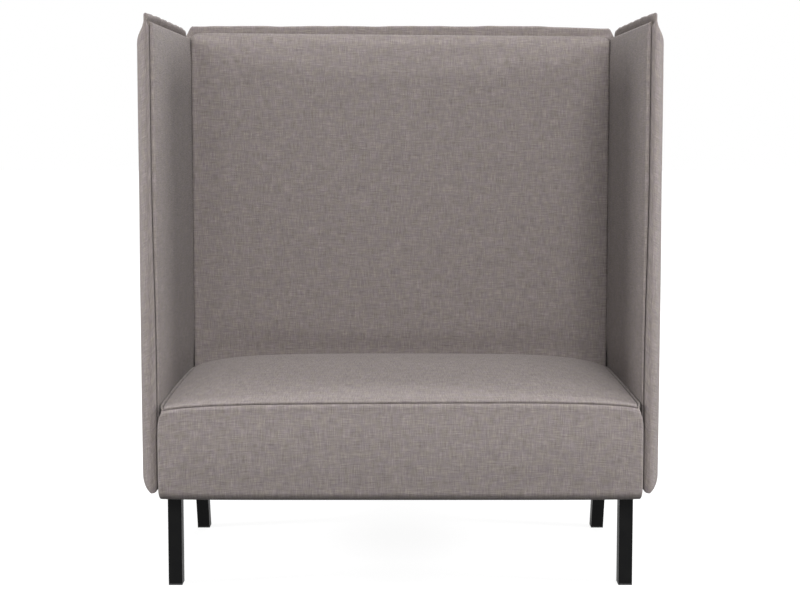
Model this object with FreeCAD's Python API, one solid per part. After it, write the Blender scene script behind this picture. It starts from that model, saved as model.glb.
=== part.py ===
"""High-back two-seat sofa, built as it comes apart on a bench.

A sprung timber seat box stands on four steel legs. Two thin upholstered side panels and a full-width
upholstered back panel bolt to it. Each panel is a board or frame with foam and a sewn cover on both
faces, and a flat sewn flange that stands out round its free edges.

Frame: millimetres, +Z up, the sitter faces -Y, origin on the floor under the middle of the sofa.
Right means right for someone who looks at the front. Right-hand pieces are modelled at +X, and their
left-hand twins are mirrored.
"""

import FreeCAD
import Part

import math
import os

Vector = FreeCAD.Vector

# Overall sizes
SOFA_WIDTH = 1204.0  # over the crowns of the two outer side pads
SOFA_DEPTH = 660.0  # from the crown of the seat front to the crown of the back's rear
SIDE_HEIGHT = 1334.0  # floor to the top of the side flange
BACK_RISE = 11.0  # top of the back flange above the side flange
PANEL_RISE = 5.0  # lower edge of the side and back panels above the underside of the seat rails

# Upholstery
COVER = 3.0  # woven cover with its wadding
FLANGE_WIDTH = 20.0  # how far the side flange stands out past the pads
BACK_FLANGE_WIDTH = 24.0  # the same at the top of the back
BACK_SIDE_FLANGE = 25.0  # back flange past the frame at the sides
FLANGE_CORNER = 9.0  # round at the rear end of the side flange
FLANGE_THICKNESS = 11.0
GAP = 0.3  # between soft faces that press on each other
LEAST_CROWN = 0.02  # keeps the crown of a flat pad an arc
LEAST_RIM_SHARE = 0.7  # rim of a pad where it is thin, as a share of its thickness there
LEAST_FOAM = 1.5  # foam thinner than this is left out

# Side panel, from the outside in
SIDE_OUTER_PAD = 24.0  # foam and cover at the crown
SIDE_BOARD = 12.0
SIDE_INNER_PAD = 14.0  # foam and cover at the crown
SIDE_PAD_AT_SEAT = 10.5  # the inner pad where the seat presses on it
SIDE_SHOULDER = 48.0  # width over which a side pad swells to its full thickness
SIDE_RIM = 2.5  # thickness of a side pad at the front flange
SIDE_END_RIM = 5.0  # thickness of the outer pad at its top and bottom
SIDE_REAR_SHOULDER = 24.0  # the outer pad's shoulder at the back
SIDE_SEAT_SHOULDER = 96.0  # height over which the inner pad swells above the seat

# Back panel, from the rear forwards
BACK_REAR_PAD = 26.0  # foam and cover, before the crown
BACK_REAR_CROWN = 3.0
HARDBOARD = 3.0
BACK_FRAME = 30.0
WEBBING = 2.0
BACK_FRONT_PAD = 34.0  # foam and cover, before the crown
BACK_FRONT_CROWN = 16.0
BACK_TOP_CROWN = 5.0  # what is left of the front crown at the top roll
BACK_CROWN_SHARES = ((0.35, 0.8), (0.55, 1.0), (0.8, 0.75))  # (share of the way up, share of the crown)
BACK_FRONT_SHOULDER = 14.0
BACK_TOP_SHOULDER = 52.0
BACK_FRONT_RIM = 26.0  # thickness of the front pad at its sides
BACK_REAR_SHOULDER = 60.0
BACK_RIM = 5.0  # thickness of both pads at the top, and of the rear one all round
BACK_TOP_ROLL = 30.0  # padding over the top rail
BACK_CORNER_DRAW = 40.0  # how far a top corner of the back is drawn in
BACK_CORNER_LENGTH = 156.0  # height over which it is drawn in
BACK_CORNER_ROUND = 8.0

# Back frame
POST_WIDTH = 58.0
BACK_RAIL_HEIGHT = 70.0
MIDDLE_RAIL_HEIGHT = 800.0  # floor to the middle of the middle rail
BOTTOM_RAIL_HEIGHT = 90.0
STRAP_WIDTH = 60.0
STRAP_COUNT = 7
BACK_PAD_CLEARANCE = 6.0  # lower end of the front pad above the bottom rail

# Seat
SEAT_OVERHANG = 35.0  # seat crown ahead of the side flange
SEAT_SIDE_GAP = 0.5  # seat cover to side pad
SEAT_SIDE_HEIGHT = 439.0  # floor to the seam along the sides
SEAT_FRONT_HEIGHT = 452.0  # floor to the middle of the front seam
SEAT_CROWN_HEIGHT = 481.0
SEAT_REAR_HEIGHT = 472.0  # floor to the top of the seat where it meets the back
SEAT_SIDE_CROWN = 4.0
SEAT_FRONT_BULGE = 6.0
SEAT_DRAW_IN = 8.0  # front corners behind the middle of the front
SEAT_HEM_ROUND = 9.0
HEM_WIDTH = 40.0
HEM = 2.5

# Seat box
BASE_HEIGHT = 235.0  # floor to the underside of the rails
RAIL = 28.0
RAIL_HEIGHT = 95.0
FRONT_LIP = 22.0  # foam ahead of the front rail
CENTRE_RAIL_HEIGHT = 65.0
BLOCK_HEIGHT = 45.0
FELT = 5.0
DUST_COVER = 1.0
DUST_COVER_INSET = 14.0

# Zigzag springs
SPRING_COUNT = 8
SPRING_WIRE = 3.8
SPRING_TURN_RADIUS = 8.0
SPRING_HALF_WIDTH = 24.0
CLIP_SHEET = 1.2
CLIP_WIDTH = 24.0
CLIP_LENGTH = 20.0

# Legs
LEG = 32.0  # square steel tube
LEG_WALL = 2.5
LEG_SIDE_INSET = 9.0  # seat side to the outer face of a leg
FRONT_LEG_SETBACK = 60.0  # side flange to the front face of a front leg
REAR_FOOT_INSET = 75.0  # crown of the back's rear to the rear face of a rear foot
REAR_RAKE = math.radians(16.0)
PLATE = 4.0
PLATE_SIZE = 110.0
GLIDE_SOLE = 4.0
GLIDE_PLUG = 20.0
GLIDE_CLEARANCE = 0.1

# Fasteners
SCREW_RADIUS = 3.0
SCREW_LENGTH = 32.0
SCREW_HEAD_RADIUS = 6.5
SCREW_HEAD = 4.0
SCREW_INSET = 15.0  # from the edges of a leg plate
BOLT_RADIUS = 4.0
BOLT_HEAD_RADIUS = 8.0
BOLT_HEAD = 5.0
NUT_RADIUS = 5.0  # tee nut barrel
NUT_FLANGE_RADIUS = 10.0
NUT_FLANGE = 1.5
NUT_BARREL = 10.0
JOINT_BOLT_RADIUS = 3.0
JOINT_HEAD_RADIUS = 4.5
JOINT_HEAD = 8.0
JOINT_BOLT_REACH = 52.0  # how far a back-to-side bolt runs into the side board
BARREL_NUT_RADIUS = 5.0
BARREL_NUT_INSET = 40.0  # barrel nut behind the rear edge of the side board
BASE_BOLT_RISE = 56.0  # underside of the rails to the bolts that hold the panels to the seat box
SIDE_BOLT_PLACES = (0.2, 0.5, 0.8)  # shares of the side rail's length
BACK_BOLT_PLACES = (-0.8, -0.35, 0.35, 0.8)  # shares of the half width between the posts
JOINT_HEIGHTS = (0.25, 0.55, 0.85)  # shares of the back post's height
DOWEL_RADIUS = 5.0
DOWEL_LENGTH = 50.0
DOWEL_SPREAD = 15.0  # a dowel above and below the middle of its pair
SEAT_DOWEL_DROP = 35.0  # top of a seat rail to the middle of a pair

# Planes worked out from the sizes above
HALF_WIDTH = SOFA_WIDTH / 2
PANEL_BOTTOM = BASE_HEIGHT + PANEL_RISE
BOARD_OUTER_X = HALF_WIDTH - SIDE_OUTER_PAD
BOARD_INNER_X = BOARD_OUTER_X - SIDE_BOARD
BOARD_MIDDLE_X = (BOARD_OUTER_X + BOARD_INNER_X) / 2
SIDE_FACE_X = BOARD_INNER_X - SIDE_INNER_PAD

SEAT_FRONT_Y = -SOFA_DEPTH / 2
FLANGE_FRONT_Y = SEAT_FRONT_Y + SEAT_OVERHANG
BOARD_FRONT_Y = FLANGE_FRONT_Y + FLANGE_WIDTH

REAR_Y = SOFA_DEPTH / 2
HARDBOARD_REAR_Y = REAR_Y - BACK_REAR_PAD - BACK_REAR_CROWN
FRAME_REAR_Y = HARDBOARD_REAR_Y - HARDBOARD
FRAME_FRONT_Y = FRAME_REAR_Y - BACK_FRAME
FRAME_MIDDLE_Y = (FRAME_REAR_Y + FRAME_FRONT_Y) / 2
WEBBING_FRONT_Y = FRAME_FRONT_Y - WEBBING
SIDE_REAR_Y = WEBBING_FRONT_Y - GAP
BACK_FACE_Y = WEBBING_FRONT_Y - BACK_FRONT_PAD

BACK_HEIGHT = SIDE_HEIGHT + BACK_RISE
BOARD_TOP_Z = SIDE_HEIGHT - FLANGE_WIDTH
BOARD_BOTTOM_Z = PANEL_BOTTOM + COVER
ROLL_TOP_Z = BACK_HEIGHT - BACK_FLANGE_WIDTH
FRAME_TOP_Z = ROLL_TOP_Z - BACK_TOP_ROLL
FRAME_HALF_X = HALF_WIDTH - BACK_SIDE_FLANGE
WRAP_HALF_X = FRAME_HALF_X + COVER
POST_INNER_X = FRAME_HALF_X - POST_WIDTH
BACK_PAD_FOOT_Z = BOARD_BOTTOM_Z + BOTTOM_RAIL_HEIGHT + BACK_PAD_CLEARANCE

SEAT_HALF_X = BOARD_INNER_X - SIDE_PAD_AT_SEAT - SEAT_SIDE_GAP
BOX_HALF_X = SEAT_HALF_X - COVER
SEAT_REAR_Y = BACK_FACE_Y - GAP
BOX_REAR_Y = SEAT_REAR_Y - COVER
BOX_FRONT_Y = SEAT_FRONT_Y + COVER + FRONT_LIP
RAIL_FRONT_Y = BOX_FRONT_Y + RAIL  # front end of the side rails
RAIL_REAR_Y = BOX_REAR_Y - RAIL
RAIL_INNER_X = BOX_HALF_X - RAIL
RAIL_TOP_Z = BASE_HEIGHT + RAIL_HEIGHT
SPRING_Z = RAIL_TOP_Z + CLIP_SHEET + SPRING_WIRE / 2
CLIP_TOP_Z = SPRING_Z + SPRING_WIRE / 2 + CLIP_SHEET
FELT_TOP_Z = CLIP_TOP_Z + FELT
PLATE_TOP_Z = BASE_HEIGHT - HEM - DUST_COVER
LEG_TOP_Z = PLATE_TOP_Z - PLATE
FRONT_LEG_Y = FLANGE_FRONT_Y + FRONT_LEG_SETBACK + LEG / 2
REAR_FOOT_Y = REAR_Y - REAR_FOOT_INSET - LEG / 2
REAR_LEG_TOP_Y = REAR_FOOT_Y - LEG_TOP_Z * math.tan(REAR_RAKE)
LEG_OUTER = SEAT_HALF_X - LEG_SIDE_INSET
LEG_X = LEG_OUTER - LEG / 2
PLATE_X = LEG_OUTER - PLATE_SIZE / 2
BASE_BOLT_Z = BASE_HEIGHT + BASE_BOLT_RISE


# Shape helpers
def box(x_low, x_high, y_low, y_high, z_low, z_high):
    """A block between two corners."""
    return Part.makeBox(x_high - x_low, y_high - y_low, z_high - z_low, Vector(x_low, y_low, z_low))


def rod(start, direction, radius, length):
    """A round bar from start along direction."""
    return Part.makeCylinder(radius, length, start, direction)


def mirrored(shape):
    """The left-hand twin of a right-hand shape."""
    return shape.mirror(Vector(0, 0, 0), Vector(1, 0, 0))


def polyline_and_arcs(points):
    """A closed wire through points, where a point given as ("via", p) bends its edge into an arc."""
    edges = []
    start = points[0]
    via = None
    for point in list(points[1:]) + [points[0]]:
        if isinstance(point, tuple):
            via = point[1]
            continue
        if via is None:
            edges.append(Part.LineSegment(start, point).toShape())
        else:
            edges.append(Part.Arc(start, via, point).toShape())
        start = point
        via = None
    return Part.Wire(edges)


def prism(points, along):
    """A flat outline pushed along a vector."""
    return Part.Face(polyline_and_arcs(points)).extrude(along)


def shoulder_arc(low, high):
    """The middle of an arc between two (across, out) points that runs level into the high one."""
    width = high[0] - low[0]
    height = high[1] - low[1]
    radius = (width * width + height * height) / (2 * height)
    half_turn = math.atan2(abs(width), radius - height) / 2
    side = math.copysign(radius * math.sin(half_turn), width)
    return (high[0] - side, high[1] - radius * (1 - math.cos(half_turn)))


def pad(stations, low, high, shoulder_low, shoulder_high, rim, place):
    """A crowned pad lofted through stations of (along, thickness, crown).

    low and high are its edges across, rim its thickness there, and a shoulder the width over which it
    swells. A shoulder of 0 leaves a square edge. place(along, across, out) gives a point in the frame.
    """
    wires = []
    for along, thickness, crown in stations:
        edge = min(rim, LEAST_RIM_SHARE * thickness)
        outline = [(low, 0.0)]
        if shoulder_low:
            outline.append((low, edge))
            outline.append(("via", shoulder_arc((low, edge), (low + shoulder_low, thickness))))
        outline.append((low + shoulder_low, thickness))
        outline.append(("via", ((low + high) / 2, thickness + max(crown, LEAST_CROWN))))
        outline.append((high - shoulder_high, thickness))
        if shoulder_high:
            outline.append(("via", shoulder_arc((high, edge), (high - shoulder_high, thickness))))
            outline.append((high, edge))
        outline.append((high, 0.0))
        points = []
        for item in outline:
            if item[0] == "via":
                points.append(("via", place(along, *item[1])))
            else:
                points.append(place(along, *item))
        wires.append(polyline_and_arcs(points))
    return Part.makeLoft(wires, True, True)


def swell(start, end, reach_start, reach_end, rim, full, crown=0.0):
    """Stations of a pad that swells from rim to full thickness over a reach at each end."""
    rise = ((0.0, 0.0), (0.12, 0.45), (0.34, 0.76), (0.64, 0.94), (1.0, 1.0))
    up = [(start + share * reach_start, rim + level * (full - rim), level * crown) for share, level in rise]
    down = [(end - share * reach_end, rim + level * (full - rim), level * crown) for share, level in rise]
    return up + down[::-1]


def slimmer(stations, by):
    """The stations of the foam inside a cover of that thickness, which closes round its ends too."""
    low = stations[0][0] + by
    high = stations[-1][0] - by
    foam = []
    for along, thickness, crown in stations:
        if thickness >= by + LEAST_FOAM:
            foam.append((min(max(along, low), high), thickness - by, crown))
    return foam


# Seat
def seat_profile(x, level, inset, bottom):
    """The seat's outline in the plane at x: hem, bulged front, front seam, crowned top, flat rear.

    level is 0 at the sides and 1 in the middle, and inset is how far it lies inside the cover's face.
    """
    front = SEAT_FRONT_Y + SEAT_FRONT_BULGE + SEAT_DRAW_IN * (1 - level) + inset
    rear = SEAT_REAR_Y - inset
    seam = SEAT_SIDE_HEIGHT + (SEAT_FRONT_HEIGHT - SEAT_SIDE_HEIGHT) * level - inset
    back = SEAT_SIDE_HEIGHT + (SEAT_REAR_HEIGHT - SEAT_SIDE_HEIGHT) * level - inset
    flat_crown = SEAT_SIDE_HEIGHT + SEAT_SIDE_CROWN
    crown = flat_crown + (SEAT_CROWN_HEIGHT - flat_crown) * level - inset
    turn = SEAT_HEM_ROUND - inset
    chord = turn * (1 - math.sqrt(0.5))
    points = [
        Vector(x, front + turn, bottom),
        ("via", Vector(x, front + chord, bottom + chord)),
        Vector(x, front, bottom + turn),
        ("via", Vector(x, front - SEAT_FRONT_BULGE, (bottom + seam) / 2)),
        Vector(x, front, seam),
        ("via", Vector(x, (front + rear) / 2, crown)),
        Vector(x, rear, back),
        Vector(x, rear, bottom),
    ]
    return polyline_and_arcs(points)


def seat_form(inset, bottom):
    """The crowned seat, lofted across its width."""
    half = SEAT_HALF_X - inset
    shares = ((0.0, 0.0), (0.02, 0.3), (0.05, 0.52), (0.1, 0.74), (0.2, 0.91), (0.4, 0.99))
    left = [(-half * (1 - share), level) for share, level in shares]
    right = [(-x, level) for x, level in reversed(left)]
    wires = [seat_profile(x, level, inset, bottom) for x, level in left + [(0.0, 1.0)] + right]
    return Part.makeLoft(wires, True, True)


def seat_box_block():
    """The space that the sprung timber box fills under the foam."""
    return box(-SEAT_HALF_X, SEAT_HALF_X, BOX_FRONT_Y, SEAT_REAR_Y, 0, FELT_TOP_Z)


def make_seat():
    """Cover, foam and felt of the seat."""
    inside = seat_form(COVER, BASE_HEIGHT)
    cover = seat_form(0.0, BASE_HEIGHT - HEM).cut(inside)
    opening = box(
        HEM_WIDTH - SEAT_HALF_X,
        SEAT_HALF_X - HEM_WIDTH,
        SEAT_FRONT_Y + SEAT_DRAW_IN + HEM_WIDTH,
        SEAT_REAR_Y - HEM_WIDTH,
        0,
        BASE_HEIGHT,
    )
    cover = cover.cut(opening)
    foam = inside.cut(seat_box_block())
    felt = box(-BOX_HALF_X, BOX_HALF_X, BOX_FRONT_Y, BOX_REAR_Y, CLIP_TOP_Z, FELT_TOP_Z)
    return {"seat_cover": cover, "seat_foam": foam, "seat_spring_felt": felt}


def make_seat_box():
    """The glued timber box: four rails, a centre rail and four blocks that the legs screw into."""
    low = BASE_HEIGHT
    side_rail = box(RAIL_INNER_X, BOX_HALF_X, RAIL_FRONT_Y, RAIL_REAR_Y, low, RAIL_TOP_Z)
    blocks = []
    for y_low, y_high in (
        (RAIL_FRONT_Y, FRONT_LEG_Y + PLATE_SIZE / 2),
        (REAR_LEG_TOP_Y - PLATE_SIZE / 2, RAIL_REAR_Y),
    ):
        block = box(LEG_OUTER - PLATE_SIZE, RAIL_INNER_X, y_low, y_high, low, low + BLOCK_HEIGHT)
        blocks += [block, mirrored(block)]
    return {
        "seat_front_rail": box(-BOX_HALF_X, BOX_HALF_X, BOX_FRONT_Y, RAIL_FRONT_Y, low, RAIL_TOP_Z),
        "seat_rear_rail": box(-BOX_HALF_X, BOX_HALF_X, RAIL_REAR_Y, BOX_REAR_Y, low, RAIL_TOP_Z),
        "seat_right_rail": side_rail,
        "seat_left_rail": mirrored(side_rail),
        "seat_centre_rail": box(
            -RAIL / 2, RAIL / 2, RAIL_FRONT_Y, RAIL_REAR_Y, low, low + CENTRE_RAIL_HEIGHT
        ),
        "seat_leg_blocks": Part.makeCompound(blocks),
    }


def spring_path(x, y_start, y_end):
    """A flat zigzag of cross bars joined by half turns, as a wire from the front clip to the rear one."""
    bars = 2 * int((y_end - y_start) / (4 * SPRING_TURN_RADIUS)) + 1
    pitch = (y_end - y_start) / (bars - 1)
    radius = pitch / 2
    reach = SPRING_HALF_WIDTH - radius
    corner = radius * math.sqrt(0.5)
    edges = []
    for bar in range(bars):
        y = y_start + bar * pitch
        side = 1 if bar % 2 == 0 else -1
        start = Vector(x - side * reach, y, SPRING_Z)
        end = Vector(x + side * reach, y, SPRING_Z)
        edges.append(Part.LineSegment(start, end).toShape())
        if bar == bars - 1:
            break
        peak = Vector(x + side * SPRING_HALF_WIDTH, y + radius, SPRING_Z)
        turned = Vector(x + side * reach, y + pitch, SPRING_Z)
        first = Vector(x + side * (reach + corner), y + radius - corner, SPRING_Z)
        second = Vector(x + side * (reach + corner), y + radius + corner, SPRING_Z)
        edges.append(Part.Arc(end, first, peak).toShape())
        edges.append(Part.Arc(peak, second, turned).toShape())
    return Part.Wire(edges)


def make_springs():
    """Zigzag seat springs from front rail to rear rail, each end held in a folded clip."""
    y_front = BOX_FRONT_Y + RAIL / 2
    y_rear = BOX_REAR_Y - RAIL / 2
    spacing = 2 * RAIL_INNER_X / SPRING_COUNT
    springs = []
    clips = []
    for number in range(SPRING_COUNT):
        x = (number - (SPRING_COUNT - 1) / 2) * spacing
        path = spring_path(x, y_front, y_rear)
        start = path.Edges[0].Vertexes[0].Point
        section = Part.Wire(Part.makeCircle(SPRING_WIRE / 2, start, Vector(1, 0, 0)))
        springs.append(Part.Wire(path).makePipeShell([section], True, False))
        for y in (y_front, y_rear):
            clip = box(
                x - CLIP_WIDTH / 2,
                x + CLIP_WIDTH / 2,
                y - CLIP_LENGTH / 2,
                y + CLIP_LENGTH / 2,
                RAIL_TOP_Z,
                CLIP_TOP_Z,
            )
            inward = 1 if y == y_front else -1
            mouth_low = y - SPRING_WIRE / 2 if inward > 0 else y - CLIP_LENGTH
            mouth_high = y + CLIP_LENGTH if inward > 0 else y + SPRING_WIRE / 2
            mouth = box(
                x - CLIP_WIDTH,
                x + CLIP_WIDTH,
                mouth_low,
                mouth_high,
                RAIL_TOP_Z + CLIP_SHEET,
                CLIP_TOP_Z - CLIP_SHEET,
            )
            clips.append(clip.cut(mouth))
    return {
        "seat_springs": Part.makeCompound(springs),
        "seat_spring_clips": Part.makeCompound(clips),
    }


def make_dust_covers():
    """The black sheets under the seat box and under the back."""
    seat = box(
        DUST_COVER_INSET - SEAT_HALF_X,
        SEAT_HALF_X - DUST_COVER_INSET,
        SEAT_FRONT_Y + SEAT_DRAW_IN + 2 * DUST_COVER_INSET,
        SEAT_REAR_Y - DUST_COVER_INSET,
        PLATE_TOP_Z,
        PLATE_TOP_Z + DUST_COVER,
    )
    back = box(
        GAP - SIDE_FACE_X,
        SIDE_FACE_X - GAP,
        SEAT_REAR_Y + GAP,
        SIDE_REAR_Y,
        BOARD_BOTTOM_Z - DUST_COVER,
        BOARD_BOTTOM_Z,
    )
    return {"seat_dust_cover": seat, "back_dust_cover": back}


# Side panels
def make_side_panel():
    """The right side panel: board, inner and outer foam and cover, and the flange round its free edges."""
    board = box(BOARD_INNER_X, BOARD_OUTER_X, BOARD_FRONT_Y, SIDE_REAR_Y, BOARD_BOTTOM_Z, BOARD_TOP_Z)

    def inward(along, across, out):
        return Vector(BOARD_INNER_X - out, across, along)

    def outward(along, across, out):
        return Vector(BOARD_OUTER_X + out, across, along)

    seat_top = SEAT_SIDE_HEIGHT + SIDE_INNER_PAD
    pressed = [(PANEL_BOTTOM, SIDE_PAD_AT_SEAT, 0.0), (seat_top, SIDE_PAD_AT_SEAT, 0.0)]
    free = swell(seat_top, BOARD_TOP_Z, SIDE_SEAT_SHOULDER, SIDE_SHOULDER, SIDE_RIM, SIDE_INNER_PAD)
    half = len(free) // 2
    rising = [station for station in free[:half] if station[1] > SIDE_PAD_AT_SEAT]
    inner = pressed + rising + free[half:]
    outer = swell(PANEL_BOTTOM, BOARD_TOP_Z, SIDE_SHOULDER, SIDE_SHOULDER, SIDE_END_RIM, SIDE_OUTER_PAD)
    pieces = {"side_board": board}
    for name, stations, rear_shoulder, place in (
        ("inner", inner, 0.0, inward),
        ("outer", outer, SIDE_REAR_SHOULDER, outward),
    ):
        whole = pad(stations, BOARD_FRONT_Y, SIDE_REAR_Y, SIDE_SHOULDER, rear_shoulder, SIDE_RIM, place)
        foam = pad(
            slimmer(stations, COVER),
            BOARD_FRONT_Y + COVER,
            SIDE_REAR_Y - COVER,
            SIDE_SHOULDER,
            rear_shoulder,
            SIDE_RIM / 2,
            place,
        )
        pieces["side_" + name + "_cover"] = whole.cut(foam)
        pieces["side_" + name + "_foam"] = foam
    x = BOARD_MIDDLE_X - FLANGE_THICKNESS / 2
    chord = FLANGE_CORNER * (1 - math.sqrt(0.5))
    outline = [
        Vector(x, FLANGE_FRONT_Y, PANEL_BOTTOM),
        Vector(x, FLANGE_FRONT_Y, SIDE_HEIGHT),
        Vector(x, SIDE_REAR_Y - FLANGE_CORNER, SIDE_HEIGHT),
        ("via", Vector(x, SIDE_REAR_Y - chord, SIDE_HEIGHT - chord)),
        Vector(x, SIDE_REAR_Y, SIDE_HEIGHT - FLANGE_CORNER),
        Vector(x, SIDE_REAR_Y, BOARD_TOP_Z),
        Vector(x, BOARD_FRONT_Y, BOARD_TOP_Z),
        Vector(x, BOARD_FRONT_Y, PANEL_BOTTOM),
    ]
    pieces["side_flange"] = prism(outline, Vector(FLANGE_THICKNESS, 0, 0))
    return pieces


# Back panel
def back_outline(inset, y):
    """The back's outline in the plane at y, with its top corners drawn in."""
    half = HALF_WIDTH - inset
    top = BACK_HEIGHT - inset
    corner = half - BACK_CORNER_DRAW
    low = top - BACK_CORNER_LENGTH
    turn = BACK_CORNER_ROUND
    across, up = shoulder_arc((top - turn / 2, corner), (low, half))[::-1]
    return [
        Vector(half, y, PANEL_BOTTOM),
        Vector(half, y, low),
        ("via", Vector(across, y, up)),
        Vector(corner, y, top - turn / 2),
        Vector(corner - turn, y, top),
        Vector(turn - corner, y, top),
        Vector(-corner, y, top - turn / 2),
        ("via", Vector(-across, y, up)),
        Vector(-half, y, low),
        Vector(-half, y, PANEL_BOTTOM),
    ]


def within_outline(shape, inset):
    """The part of a shape that lies inside the back's outline."""
    limits = shape.BoundBox
    outline = back_outline(inset, limits.YMin - inset)
    return shape.common(prism(outline, Vector(0, limits.YLength + 2 * inset, 0)))


def frame_block(y_low, y_high):
    """The space inside the back's covers that its frame fills."""
    return box(-FRAME_HALF_X, FRAME_HALF_X, y_low, y_high, BOARD_BOTTOM_Z, FRAME_TOP_Z)


def back_wrap(y_low, y_high):
    """The cover where it turns over the frame's top and sides to reach the flange."""
    wrap = box(-WRAP_HALF_X, WRAP_HALF_X, y_low, y_high, PANEL_BOTTOM, ROLL_TOP_Z)
    return within_outline(wrap, COVER).cut(frame_block(y_low, y_high))


def make_back_upholstery():
    """Front and rear foam and covers of the back, and its flange."""
    half_flange = FLANGE_THICKNESS / 2
    flange_front = FRAME_MIDDLE_Y - half_flange
    flange_rear = FRAME_MIDDLE_Y + half_flange

    def forward(along, across, out):
        return Vector(across, WEBBING_FRONT_Y - out, along)

    def rearward(along, across, out):
        return Vector(across, HARDBOARD_REAR_Y + out, along)

    between = SIDE_FACE_X - GAP
    front = [(BACK_PAD_FOOT_Z, BACK_FRONT_PAD, 0.0), (SEAT_REAR_HEIGHT, BACK_FRONT_PAD, 0.0)]
    for share, level in BACK_CROWN_SHARES:
        along = SEAT_REAR_HEIGHT + share * (ROLL_TOP_Z - SEAT_REAR_HEIGHT)
        front.append((along, BACK_FRONT_PAD, level * BACK_FRONT_CROWN))
    reach = BACK_TOP_SHOULDER
    roll = swell(SEAT_REAR_HEIGHT, ROLL_TOP_Z, reach, reach, BACK_RIM, BACK_FRONT_PAD, BACK_TOP_CROWN)
    front += roll[len(roll) // 2:]
    reach = BACK_REAR_SHOULDER
    rear = swell(PANEL_BOTTOM, ROLL_TOP_Z, reach, reach, BACK_RIM, BACK_REAR_PAD, BACK_REAR_CROWN)
    pieces = {}
    for name, stations, half, shoulder, rim, place, wrap in (
        ("front", front, between, BACK_FRONT_SHOULDER, BACK_FRONT_RIM, forward,
         back_wrap(WEBBING_FRONT_Y, flange_front)),
        ("rear", rear, WRAP_HALF_X, BACK_REAR_SHOULDER, BACK_RIM, rearward,
         back_wrap(flange_rear, HARDBOARD_REAR_Y)),
    ):
        whole = within_outline(pad(stations, -half, half, shoulder, shoulder, rim, place), COVER)
        foam = pad(
            slimmer(stations, COVER), COVER - half, half - COVER, shoulder, shoulder, rim - COVER, place
        )
        foam = within_outline(foam, 2 * COVER)
        pieces["back_" + name + "_cover"] = whole.cut(foam).fuse(wrap)
        pieces["back_" + name + "_foam"] = foam
    outline = prism(back_outline(0.0, flange_front), Vector(0, FLANGE_THICKNESS, 0))
    inside = box(-FRAME_HALF_X, FRAME_HALF_X, flange_front, flange_rear, 0, FRAME_TOP_Z)
    pieces["back_flange"] = outline.cut(inside)
    return pieces


def make_back_frame():
    """The timber frame of the back, the elastic straps across it and the hardboard behind it."""
    post = box(POST_INNER_X, FRAME_HALF_X, FRAME_FRONT_Y, FRAME_REAR_Y, BOARD_BOTTOM_Z, FRAME_TOP_Z)

    def rail(z_low, height, front):
        return box(-POST_INNER_X, POST_INNER_X, front, FRAME_REAR_Y, z_low, z_low + height)

    strap_low = BACK_PAD_FOOT_Z
    strap_high = FRAME_TOP_Z - BACK_RAIL_HEIGHT - STRAP_WIDTH
    step = (strap_high - strap_low) / (STRAP_COUNT - 1)
    straps = []
    for number in range(STRAP_COUNT):
        z = strap_low + number * step
        straps.append(box(-SIDE_FACE_X, SIDE_FACE_X, WEBBING_FRONT_Y, FRAME_FRONT_Y, z, z + STRAP_WIDTH))
    return {
        "back_right_post": post,
        "back_left_post": mirrored(post),
        "back_top_rail": rail(FRAME_TOP_Z - BACK_RAIL_HEIGHT, BACK_RAIL_HEIGHT, FRAME_FRONT_Y),
        "back_middle_rail": rail(MIDDLE_RAIL_HEIGHT - BACK_RAIL_HEIGHT / 2, BACK_RAIL_HEIGHT, FRAME_FRONT_Y),
        "back_bottom_rail": rail(BOARD_BOTTOM_Z, BOTTOM_RAIL_HEIGHT, SEAT_REAR_Y),
        "back_webbing": Part.makeCompound(straps),
        "back_hardboard": box(
            -FRAME_HALF_X, FRAME_HALF_X, FRAME_REAR_Y, HARDBOARD_REAR_Y, BOARD_BOTTOM_Z, FRAME_TOP_Z
        ),
    }


# Legs
def leg_prism(half, foot_y, top_y, z_low, z_high):
    """A square bar of half width, leaning from foot_y on the floor to top_y under the plate."""
    lean = (top_y - foot_y) / LEG_TOP_Z
    y_low = foot_y + lean * z_low
    y_high = foot_y + lean * z_high
    wires = []
    for y, z in ((y_low, z_low), (y_high, z_high)):
        corners = [
            Vector(LEG_X - half, y - half, z),
            Vector(LEG_X + half, y - half, z),
            Vector(LEG_X + half, y + half, z),
            Vector(LEG_X - half, y + half, z),
        ]
        wires.append(polyline_and_arcs(corners))
    return Part.makeLoft(wires, True, True)


def make_legs():
    """Tube legs with a screw plate on top and a plastic glide pushed into the foot."""
    pieces = {}
    plates = []
    glides = []
    bore = LEG / 2 - LEG_WALL
    for name, foot_y, top_y in (
        ("front", FRONT_LEG_Y, FRONT_LEG_Y),
        ("rear", REAR_FOOT_Y, REAR_LEG_TOP_Y),
    ):
        tube = leg_prism(LEG / 2, foot_y, top_y, GLIDE_SOLE, LEG_TOP_Z)
        tube = tube.cut(leg_prism(bore, foot_y, top_y, 0, LEG_TOP_Z + 1))
        sole = leg_prism(LEG / 2, foot_y, top_y, 0, GLIDE_SOLE)
        plug = leg_prism(bore - GLIDE_CLEARANCE, foot_y, top_y, 0, GLIDE_SOLE + GLIDE_PLUG)
        glide = sole.fuse(plug).removeSplitter()
        plate = box(
            LEG_OUTER - PLATE_SIZE,
            LEG_OUTER,
            top_y - PLATE_SIZE / 2,
            top_y + PLATE_SIZE / 2,
            LEG_TOP_Z,
            PLATE_TOP_Z,
        )
        pieces[name + "_right_leg"] = tube
        pieces[name + "_left_leg"] = mirrored(tube)
        plates += [plate, mirrored(plate)]
        glides += [glide, mirrored(glide)]
    pieces["leg_plates"] = Part.makeCompound(plates)
    pieces["floor_glides"] = Part.makeCompound(glides)
    return pieces


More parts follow.
